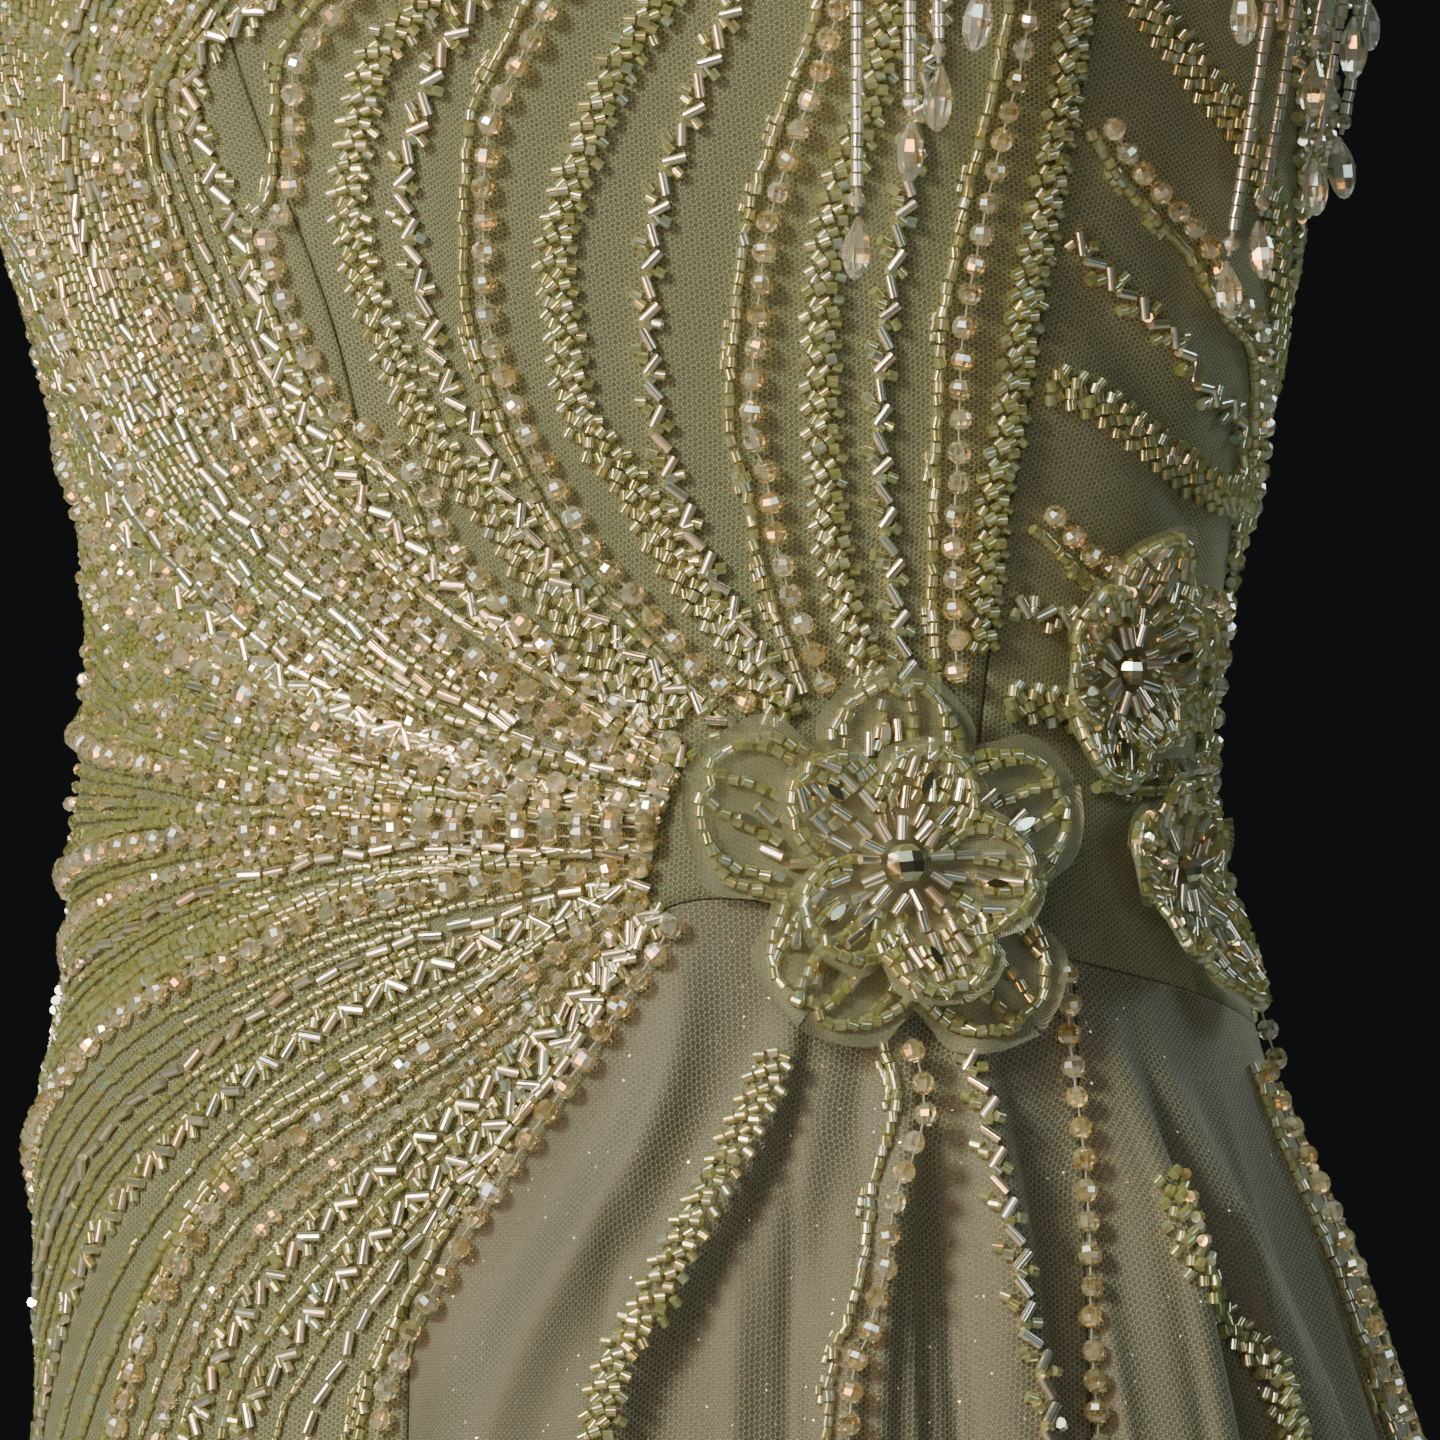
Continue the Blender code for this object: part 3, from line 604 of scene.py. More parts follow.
def organza(name, thread, cell):
    """Stiff sheer weave with a fine square grid."""
    made, tree, shader = blank_material(name)
    uv = node(tree, "ShaderNodeUVMap", uv_map="weave").outputs[0]
    parts = node(tree, "ShaderNodeSeparateXYZ", {0: uv})
    wave = 2.0 * math.pi / cell
    lines = [maths(tree, "COSINE", maths(tree, "MULTIPLY", parts.outputs[k], wave)) for k in (0, 1)]
    crossed = maths(tree, "MAXIMUM", lines[0], lines[1])
    weave = smooth_range(tree, crossed, 0.1, 0.9)
    cloudy = clouds(tree, uv, 90.0, 3.0).outputs[0]
    tint = blend_colour(tree, smooth_range(tree, cloudy, 0.3, 0.7), (*thread, 1.0),
                        (*[c * 0.72 for c in thread], 1.0))
    bump = node(tree, "ShaderNodeBump", {"Height": weave, "Distance": 0.0001, "Strength": 0.6})
    feed(tree, shader, {
        "Base Color": tint, "Alpha": smooth_range(tree, weave, 0.0, 1.0, 0.30, 0.80),
        "Normal": bump.outputs[0], "Roughness": 0.38, "Sheen Weight": 0.35, "Specular IOR Level": 0.6,
    })
    return made


# Lined glass from the middle of a bead to its rim, as seen: the golden glass round its lining, and painted
# shade that darkens it towards the rim.
LINED_RIM_SHADE = (
    (0.0, (1.0, 1.0, 1.0)), (0.25, (0.97, 0.98, 0.93)), (0.55, (0.84, 0.84, 0.62)), (1.0, (0.60, 0.58, 0.32)),
)
# The same for silver-lined glass: golden glass round the lining, and painted shade towards the rim.
SILVER_RIM_SHADE = (
    (0.0, (1.0, 1.0, 1.0)), (0.28, (0.92, 0.93, 0.92)), (0.48, (0.86, 0.78, 0.50)), (1.0, (0.62, 0.54, 0.28)),
)


def finish_of(key):
    """The gown's materials, each made once."""
    known = bpy.data.materials.get(key)
    if known is not None:
        return known
    colours = bpy.context.scene.gown_colours
    makers = {
        "net_on_bodice": lambda: tulle_on_ground(
            key, (colours.net_thread, colours.net_ground, colours.net_shade), 0.00108, 0.97),
        "net_on_skirt": lambda: tulle_on_ground(
            key, (colours.skirt_thread, colours.skirt_ground, colours.skirt_shade), 0.00118, 0.92, 0.14),
        "organza_petal": lambda: organza(key, colours.petal, 0.00042),
        "seed_glass": lambda: glass_bead(key, (
            (0.0, (0.72, 0.73, 0.25)), (0.6, (0.80, 0.81, 0.37)), (0.88, (0.84, 0.85, 0.50)),
            (1.0, (0.74, 0.90, 0.78))), LINED_RIM_SHADE, (0.64, 0.92), 0.12, 0.22, 0.0),
        "bugle_glass": lambda: glass_bead(key, (
            (0.0, (0.72, 0.78, 0.72)), (0.4, (0.84, 0.88, 0.76)), (0.75, (0.92, 0.88, 0.70)),
            (1.0, (0.98, 0.78, 0.58))), SILVER_RIM_SHADE, (1.0, 1.0), 0.70, 0.26, 380.0),
        "crystal_glass": lambda: clear_glass(key, (
            (0.0, (0.84, 0.76, 0.42)), (0.5, (0.93, 0.91, 0.62)), (1.0, (0.93, 0.96, 0.82))),
            0.85, 0.05),
        "strand_glass": lambda: glass_bead(key, (
            (0.0, (0.90, 0.92, 0.78)), (0.6, (0.96, 0.97, 0.90)), (1.0, (1.0, 1.0, 0.96))),
            SILVER_RIM_SHADE, (1.0, 1.0), 0.45, 0.24, 0.0),
        "clear_drop": lambda: clear_glass(key, (
            (0.0, (0.84, 0.84, 0.66)), (0.5, (0.92, 0.93, 0.80)), (1.0, (0.97, 0.97, 0.92))),
            0.92, 0.03),
        "foiled_stone": lambda: glass_bead(key, (
            (0.0, (0.36, 0.30, 0.10)), (0.5, (0.70, 0.58, 0.22)), (1.0, (0.60, 0.70, 0.50))),
            SILVER_RIM_SHADE, (1.0, 1.0), 0.85, 0.12, 350.0),
        "thread": lambda: plain_thread(key),
        "pale_floor": lambda: studio_floor(key),
    }
    return makers[key]()


def plain_thread(name):
    """Twisted sewing thread."""
    made, tree, shader = blank_material(name)
    place = node(tree, "ShaderNodeTexCoord").outputs["Object"]
    twist = node(tree, "ShaderNodeTexWave", {"Vector": place, "Scale": 900.0, "Distortion": 2.0})
    colour = blend_colour(tree, twist.outputs[1], (0.50, 0.47, 0.34, 1.0), (0.66, 0.63, 0.50, 1.0))
    feed(tree, shader, {"Base Color": colour, "Roughness": 0.5})
    return made


def studio_floor(name):
    made, tree, shader = blank_material(name)
    place = node(tree, "ShaderNodeTexCoord").outputs["Object"]
    cloudy = clouds(tree, place, 3.0, 6.0).outputs[0]
    colour = blend_colour(tree, cloudy, (0.60, 0.60, 0.58, 1.0), (0.68, 0.68, 0.66, 1.0))
    feed(tree, shader, {"Base Color": colour, "Roughness": 0.8})
    return made


# ---------- meshes
def nothing_selected():
    if bpy.context.object is not None and bpy.context.object.mode != "OBJECT":
        bpy.ops.object.mode_set(mode="OBJECT")
    bpy.ops.object.select_all(action="DESELECT")


def only(obj):
    nothing_selected()
    obj.select_set(True)
    bpy.context.view_layer.objects.active = obj


def mesh_from_arrays(name, places, loops, sizes):
    """A mesh from arrays: vertex places, the faces' corners in one list, and each face's corner count."""
    mesh = bpy.data.meshes.new(name)
    mesh.vertices.add(len(places))
    mesh.vertices.foreach_set("co", np.ascontiguousarray(places, np.float32).ravel())
    mesh.loops.add(len(loops))
    mesh.loops.foreach_set("vertex_index", np.ascontiguousarray(loops, np.int32))
    mesh.polygons.add(len(sizes))
    starts = np.concatenate([[0], np.cumsum(sizes)[:-1]])
    mesh.polygons.foreach_set("loop_start", starts.astype(np.int32))
    mesh.update(calc_edges=True)
    mesh.validate()
    return mesh


def placed(name, mesh, materials):
    for finish in materials:
        mesh.materials.append(finish)
    made = bpy.data.objects.new(name, mesh)
    bpy.context.scene.collection.objects.link(made)
    return made


def grid_quads(rows, columns, start=0):
    """Corners of the quads of a grid with so many rows and columns of vertices."""
    index = np.arange(rows * columns).reshape(rows, columns) + start
    corners = [index[:-1, :-1], index[1:, :-1], index[1:, 1:], index[:-1, 1:]]
    return np.stack(corners, axis=-1).reshape(-1, 4)


def woven_sheet(name, places, quads, uv, finish):
    """Cloth from its places, its quads and its places laid flat, in metres."""
    mesh = mesh_from_arrays(name, places.reshape(-1, 3), quads.ravel(), np.full(len(quads), 4))
    layer = mesh.uv_layers.new(name="weave")
    layer.data.foreach_set("uv", uv.reshape(-1, 2)[quads.ravel()].astype(np.float32).ravel())
    mesh.shade_smooth()
    return placed(name, mesh, [finish])


def face_area(obj):
    return float(sum(face.area for face in obj.data.polygons))


def travelled(places):
    """Distance from the first of a line's places to each."""
    steps = np.linalg.norm(np.diff(places, axis=0), axis=1)
    return np.concatenate([[0.0], np.cumsum(steps)])


# ---------- cloth
SEAM_GAP = 0.00004
SEAM_STEP = 0.0016       # share of a panel's length in its first and last row
HIP_Z = -0.500           # where a panel's width is read for its seams
HIP_RADIUS = 0.12
WIDEST_EDGE = 0.4        # of a column
NARROWEST_PANEL = 0.02
FITTING_ROUNDS = 12


def edged_shares(count, edge):
    """Shares from 0 to 1, evenly spaced but for one narrow step at each end."""
    return np.concatenate([[0.0], np.linspace(edge, 1.0 - edge, count - 1), [1.0]])


def panel_places(left, right, top, bottom, columns, rows, crowding, edge):
    """Angles and heights of a panel's grid; crowding above 1 sets the rows closer at the top."""
    across = edged_shares(columns, edge)[None, :]
    down = edged_shares(rows, SEAM_STEP)[:, None] ** crowding
    z = np.full((rows + 1, columns + 1), -0.4)
    angle = z * 0.0
    for _ in range(FITTING_ROUNDS):
        low = left(z) + SEAM_GAP / 2 / per_degree(left(z), z)
        high = right(z) - SEAM_GAP / 2 / per_degree(right(z), z)
        angle = low + (high - low) * across
        start = top(angle) - (SEAM_GAP if top is hip_seam else 0.0)
        end = bottom(angle) + (SEAM_GAP if bottom is hip_seam else 0.0)
        z = start + (end - start) * down
    return angle, z


def cloth_point(angle, z):
    """Outer face of the cloth with its small creases, and the direction out of it."""
    places = surface(angle, z)
    out = outward(angle, z)
    return places + out * crease_rise(angle, z)[..., None], out


def cloth_panel(name, finish, left, right, top, bottom, columns, rows, crowding=1.0):
    """One panel as a thin shell on its solid's outer face."""
    sizes = bpy.context.scene.gown_cloth
    hip = np.array(HIP_Z)
    width = float(np.radians(abs(right(hip) - left(hip))) * HIP_RADIUS)
    edge = min(WIDEST_EDGE / columns, sizes.tuck_width / max(width, NARROWEST_PANEL))
    angle, z = panel_places(left, right, top, bottom, columns, rows, crowding, edge)
    places, out = cloth_point(angle, z)
    tuck = np.zeros(angle.shape)
    tuck[:, 0] = tuck[:, -1] = sizes.tuck_depth
    if top is hip_seam:
        tuck[0, :] = sizes.tuck_depth
    if bottom is hip_seam:
        tuck[-1, :] = sizes.tuck_depth
    places = places - out * tuck[..., None]
    along = np.zeros(angle.shape)
    along[:, 1:] = np.cumsum(np.linalg.norm(np.diff(places, axis=1), axis=2), axis=1)
    middle = angle.shape[1] // 2
    along = along - along[:, middle:middle + 1]
    down = np.zeros(angle.shape)
    down[1:, :] = np.cumsum(np.linalg.norm(np.diff(places, axis=0), axis=2), axis=0)
    down = down - top(angle[0])[None, :]
    made = woven_sheet(name, places, grid_quads(*angle.shape), np.stack([along, down], axis=-1), finish)
    flat_width = float((along[:, -1] - along[:, 0]).max())
    flat_length = float((down[-1] - down[0]).max())
    return made, (flat_width, flat_length), face_area(made)


def thickened(obj, thickness):
    """Gives a sheet its real thickness inwards."""
    only(obj)
    wall = obj.modifiers.new("thickness", "SOLIDIFY")
    wall.thickness = thickness
    wall.offset = -1.0
    wall.use_even_offset = False
    bpy.ops.object.modifier_apply(modifier=wall.name)
    return obj


def lay_panels(panels, bottom, finish):
    for name, left, right, top, columns, rows, crowding in panels:
        made, flat, area = cloth_panel(
            name + "_cloth", finish_of(finish), left, right, top, bottom, columns, rows, crowding)
        thickened(made, bpy.context.scene.gown_cloth.thickness)
        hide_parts(name)
        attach(made, "root")


# ---------- bead patterns
class Pattern:
    """One bead modelled once: its vertices, faces and which faces are smooth.  Its hole runs along z."""

    def __init__(self, obj):
        mesh = obj.data
        # Blender may list a primitive's faces in another order each time, so they are sorted here.
        faces = []
        for face in mesh.polygons:
            corners = list(face.vertices)
            first = corners.index(min(corners))
            faces.append(((*corners[first:], *corners[:first]), face.use_smooth))
        faces.sort()
        self.places = np.array([vertex.co[:] for vertex in mesh.vertices], np.float32)
        self.loops = np.array([corner for corners, _ in faces for corner in corners], np.int32)
        self.sizes = np.array([len(corners) for corners, _ in faces], np.int32)
        self.smooth = np.array([smooth for _, smooth in faces], bool)
        bpy.data.objects.remove(obj, do_unlink=True)
        bpy.data.meshes.remove(mesh)


def pick_vertices(obj, wanted):
    """Selects just the vertices that wanted says, for the next edit."""
    only(obj)
    bpy.ops.object.mode_set(mode="EDIT")
    bpy.ops.mesh.select_mode(type="VERT")
    bpy.ops.mesh.select_all(action="DESELECT")
    bpy.ops.object.mode_set(mode="OBJECT")
    for vertex in obj.data.vertices:
        vertex.select = wanted(vertex.co)


def shape_ring(obj, low, high, grow, lift=0.0):
    """Selects the vertices between two heights, scales them about the axis and moves them up."""
    pick_vertices(obj, lambda place: low <= place.z <= high)
    bpy.ops.object.mode_set(mode="EDIT")
    bpy.ops.transform.resize(value=(grow, grow, 1.0), center_override=(0.0, 0.0, (low + high) / 2))
    bpy.ops.transform.translate(value=(0.0, 0.0, lift))
    bpy.ops.object.mode_set(mode="OBJECT")


def tube_pattern(width, length, sides):
    """Short or long straight bead with round flanks and flat ends."""
    nothing_selected()
    bpy.ops.mesh.primitive_cylinder_add(vertices=sides, radius=width * 0.5, depth=length)
    made = bpy.context.object
    for face in made.data.polygons:
        face.use_smooth = abs(face.normal.z) < 0.5
    return Pattern(made)


def crystal_pattern(width, segments, rings):
    """Round bead cut in facets."""
    nothing_selected()
    bpy.ops.mesh.primitive_uv_sphere_add(segments=segments, ring_count=rings, radius=width * 0.5)
    made = bpy.context.object
    shape_ring(made, width * 0.47, width * 0.51, 1.0, -width * 0.06)
    shape_ring(made, -width * 0.51, -width * 0.47, 1.0, width * 0.06)
    return Pattern(made)


def drop_pattern(width, length):
    """Pear-shaped faceted drop that hangs from its narrow top; its tip points down."""
    nothing_selected()
    bpy.ops.mesh.primitive_uv_sphere_add(segments=9, ring_count=8, radius=0.5)
    made = bpy.context.object
    made.scale = (width, width, length)
    bpy.ops.object.transform_apply(location=False, rotation=False, scale=True)
    for low, high, grow in ((0.10, 0.25, 0.86), (0.25, 0.42, 0.62), (0.42, 0.50, 0.60)):
        shape_ring(made, low * length, high * length, grow)
    return Pattern(made)


def navette_pattern(width, length, height):
    """Flat-backed stone pointed at both ends, cut in facets.  Its length runs along z, its face along y."""
    nothing_selected()
    turn = (math.radians(-90.0), 0.0, 0.0)
    bpy.ops.mesh.primitive_cylinder_add(vertices=10, radius=0.5, depth=1.0, rotation=turn)
    made = bpy.context.object
    bpy.ops.object.transform_apply(location=False, rotation=True, scale=False)
    pick_vertices(made, lambda place: place.y > 0.4)
    bpy.ops.object.mode_set(mode="EDIT")
    bpy.ops.transform.resize(value=(0.55, 1.0, 0.62), center_override=(0.0, 0.5, 0.0))
    bpy.ops.object.mode_set(mode="OBJECT")
    made.scale = (width, height, length)
    bpy.ops.object.transform_apply(location=False, rotation=False, scale=True)
    for vertex in made.data.vertices:
        narrowing = 1.0 - (abs(vertex.co.z) / (length * 0.5)) ** 1.6
        vertex.co.x *= 0.25 + 0.75 * max(0.0, narrowing) ** 0.5
    return Pattern(made)


def pattern_of(kind):
    """The bead patterns, each modelled once."""
    if kind not in PATTERNS:
        sizes = bpy.context.scene.gown_beads
        PATTERNS[kind] = {
            "seed": lambda: tube_pattern(sizes.seed, sizes.seed * 0.86, 8),
            "plain_seed": lambda: tube_pattern(sizes.seed, sizes.seed * 0.84, 5),
            "bugle": lambda: tube_pattern(sizes.bugle_width, sizes.bugle_length * 0.97, 8),
            "crystal": lambda: crystal_pattern(sizes.crystal, 9, 6),
            "small_crystal": lambda: crystal_pattern(sizes.crystal * SMALL_CRYSTAL, 8, 5),
            "strand_seed": lambda: tube_pattern(sizes.seed * 1.08, sizes.seed * 0.92, 8),
            "drop": lambda: drop_pattern(DROP_WIDTH, DROP_LENGTH),
            "navette": lambda: navette_pattern(*STONE_SIZE),
            "thread": lambda: tube_pattern(*THREAD_SIZE, 5),
        }[kind]()
    return PATTERNS[kind]


PATTERNS = {}
STONE_SIZE = (0.0034, 0.0072, 0.0022)    # width, length and height
THREAD_SIZE = (0.0005, 0.0024)           # width, and length between two crystals


class Beads:
    """Places of like beads, gathered until they are joined to one mesh."""

    def __init__(self, number):
        self.dice = np.random.default_rng([SEED, number])
        self.middles = []
        self.frames = []
        self.scales = []

    def add(self, middles, ahead, out, wobble=0.12, scale=1.0, spin=0.22):
        """Beads at middles with their holes along ahead, leaning and spun a little at random."""
        middles = np.atleast_2d(middles)
        count = len(middles)
        ahead = np.broadcast_to(ahead, middles.shape)
        out = np.broadcast_to(out, middles.shape)
        side = np.cross(out, ahead)
        side /= np.linalg.norm(side, axis=1, keepdims=True)
        lean = self.dice.normal(0.0, wobble, (count, 2))
        hole = ahead + side * lean[:, :1] + out * lean[:, 1:]
        hole /= np.linalg.norm(hole, axis=1, keepdims=True)
        across = np.cross(out, hole)
        across /= np.linalg.norm(across, axis=1, keepdims=True)
        up = np.cross(hole, across)
        roll = self.dice.uniform(-spin, spin, (count, 1))
        first = across * np.cos(roll) + up * np.sin(roll)
        second = up * np.cos(roll) - across * np.sin(roll)
        self.middles.append(middles)
        self.frames.append(np.stack([first, second, hole], axis=1))
        self.scales.append(np.full(count, scale) * self.dice.uniform(0.94, 1.05, count))

    def count(self):
        return sum(len(part) for part in self.middles)


def joined_beads(name, groups):
    """Joins groups of (pattern, beads, finish) to one piece."""
    places, loops, sizes, smooth, tones, facets, finishes = [], [], [], [], [], [], []
    corner = 0
    materials = []
    for kind, beads, finish in groups:
        if beads.count() == 0:
            continue
        pattern = pattern_of(kind)
        if finish not in materials:
            materials.append(finish)
        middles = np.concatenate(beads.middles)
        frames = np.concatenate(beads.frames) * np.concatenate(beads.scales)[:, None, None]
        count = len(middles)
        local = np.einsum("vk,nkx->nvx", pattern.places, frames) + middles[:, None, :]
        places.append(local.reshape(-1, 3))
        step = np.arange(count)[:, None] * len(pattern.places) + corner
        loops.append((pattern.loops[None] + step).ravel())
        corner += count * len(pattern.places)
        sizes.append(np.tile(pattern.sizes, count))
        smooth.append(np.tile(pattern.smooth, count))
        tones.append(np.repeat(beads.dice.random(count), len(pattern.sizes)))
        even = np.repeat(beads.dice.random(count), len(pattern.sizes))
        cut = beads.dice.random(count * len(pattern.sizes))
        facets.append(np.where(np.tile(pattern.smooth, count), even, cut))
        finishes.append(np.full(count * len(pattern.sizes), materials.index(finish)))
    mesh = mesh_from_arrays(name, np.concatenate(places), np.concatenate(loops), np.concatenate(sizes))
    mesh.polygons.foreach_set("use_smooth", np.concatenate(smooth))
    for key, values in (("tone", tones), ("facet", facets)):
        layer = mesh.attributes.new(name=key, type="FLOAT", domain="FACE")
        layer.data.foreach_set("value", np.concatenate(values).astype(np.float32))
    edges = np.zeros(len(mesh.loops), np.int32)
    mesh.loops.foreach_get("edge_index", edges)
    round_sides = np.bincount(edges, np.repeat(np.concatenate(smooth), np.concatenate(sizes)))
    rims = (round_sides > 0) & (round_sides < np.bincount(edges))
    mesh.attributes.new(name="sharp_edge", type="BOOLEAN", domain="EDGE").data.foreach_set("value", rims)
    made = placed(name, mesh, [finish_of(key) for key in materials])
    mesh.polygons.foreach_set("material_index", np.concatenate(finishes).astype(np.int32))
    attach(made, "root")
    return made


# ---------- rows of beads on the cloth
ROW_SCALE = 0.0021       # metres for a degree, where rows are drawn as flat curves
ROW_STEP = 0.0006
SLOPE_STEP = 0.001       # distance to each side over which a row's direction is read
LOOSE_STEP = 0.0008      # the same on a line off the cloth


def place_at(row, values, distances):
    """Values along a row, such as its places, read at distances."""
    return np.stack([np.interp(distances, row.travel, values[:, k]) for k in range(3)], axis=1)


class Row:
    """A line on the cloth, as closely spaced angles and heights."""

    def __init__(self, angle, z):
        self.angle = np.asarray(angle, float)
        self.z = np.asarray(z, float)
        self.places = surface(self.angle, self.z)
        self.travel = travelled(self.places)
        self.length = self.travel[-1]

    def part(self, start, end):
        """The stretch between two distances."""
        wanted = np.linspace(start, end, max(3, int((end - start) / ROW_STEP)))
        return Row(np.interp(wanted, self.travel, self.angle), np.interp(wanted, self.travel, self.z))

    def at(self, distances, aside=0.0, up=0.0):
        """Places along the row, aside of it to its right as it runs down, with ahead and out."""
        distances = np.asarray(distances, float)
        angle = np.interp(distances, self.travel, self.angle)
        z = np.interp(distances, self.travel, self.z)
        before = np.maximum(distances - SLOPE_STEP, 0.0)
        after = np.minimum(distances + SLOPE_STEP, self.length)
        ahead = place_at(self, self.places, after) - place_at(self, self.places, before)
        ahead /= np.linalg.norm(ahead, axis=1, keepdims=True)
        out = outward(angle, z)
        side = np.cross(out, ahead)
        shift = np.broadcast_to(aside, distances.shape)
        level = surface(angle + TURN_STEP, z) - surface(angle - TURN_STEP, z)
        level /= np.linalg.norm(level, axis=1, keepdims=True)
        upward = np.cross(out, -level)
        upward *= np.sign(upward[:, 2:3])
        angle = angle + shift * np.sum(side * level, axis=1) / per_degree(angle, z)
        z = z + shift * np.sum(side * upward, axis=1) * upward[:, 2]
        places, out = cloth_point(angle, z)
        ahead = ahead - out * np.sum(ahead * out, axis=1, keepdims=True)
        ahead /= np.linalg.norm(ahead, axis=1, keepdims=True)
        return places + out * np.asarray(up)[..., None], ahead, out


def row_through(places):
    """A smooth row through places given as (angle, height)."""
    flat = catmull([(angle * ROW_SCALE, z) for angle, z in places], ROW_STEP)
    return Row(flat[:, 0] / ROW_SCALE, flat[:, 1])


def seen_row(pixels, before=(), after=()):
    """A row through places seen in the frame, with hidden places before and after them."""
    return row_through([*before, *seen_places(pixels), *after])


def row_between(first, second, share, samples=260):
    """A row that keeps the same share of the way from one row to another."""
    s = np.linspace(0.0, 1.0, samples)
    parts = []
    for row in (first, second):
        at = s * row.length
        parts.append((np.interp(at, row.travel, row.angle), np.interp(at, row.travel, row.z)))
    angle = parts[0][0] * (1.0 - share) + parts[1][0] * share
    z = parts[0][1] * (1.0 - share) + parts[1][1] * share
    return Row(angle, z)


# Pitches and heights of beads on a row, in their own lengths or widths.
SMALL_SEED = 0.72        # of a seed bead's size, in the closest lines
SEED_PITCH = 1.12
SEED_HEIGHT = 0.46
CRYSTAL_PITCH = 1.30
SMALL_CRYSTAL = 0.70     # of a crystal's width
SMALL_CRYSTAL_PITCH = 1.22
CRYSTAL_HEIGHT = 0.47
THREAD_HEIGHT = 0.42
BUGLE_PITCH = 1.22
BUGLE_DRIFT = 0.0003     # metres aside, at random
# Mixed rows: share of each kind, its length and height in its own size, and its scale.
MIXED_BEADS = (
    ("plain_seed", 0.88, "seed", 0.92, "seed", 0.38, 0.80),
    ("bugle", 0.06, "bugle_length", 0.95, "bugle_width", 0.45, 0.88),
    ("small_crystal", 0.06, "crystal", 0.76, "crystal", 0.33, 0.95),
)
MIXED_DRIFT = 0.00018
# Lines of seed beads beside a row of crystals, in crystals aside.
LINE_ASIDE = 0.88
LINE_PITCH = 1.02
EXTRA_ASIDE = 1.22
EXTRA_SPACING = 0.02
EXTRA_LENGTH = 0.006
ZIGZAG_PITCH = 1.09      # in bugles
ZIGZAG_SHIFT = 0.00015
ROPE_PITCH = 1.95            # from stitch to stitch of a rope, in beads
# A rope's stitch, in beads: aside, along, height of each bead's middle, how many degrees
# it climbs, and whether it is one of the plain ones below.
ROPE_STITCH = (
    (-1.30, 0.10, 0.50, 30.0, False), (-0.28, -0.48, 0.92, 30.0, False), (0.80, -0.30, 0.80, 8.0, False),
    (1.42, 0.42, 0.46, -20.0, True), (-0.62, 0.95, 0.48, 60.0, True), (0.36, 0.72, 0.50, 40.0, True),
)
ZIGZAG_LEANS = (-44.0, 30.0)  # degrees from the row, by turns
# Seed beads by a zigzag's bugles: how far aside in beads, how far on in bugles,
# and whether they go with the bugles that lean the first way.
ZIGZAG_SEEDS = ((0.72, 0.43, True), (-1.20, 0.36, False), (-0.15, -0.56, False), (-0.75, -0.30, True))


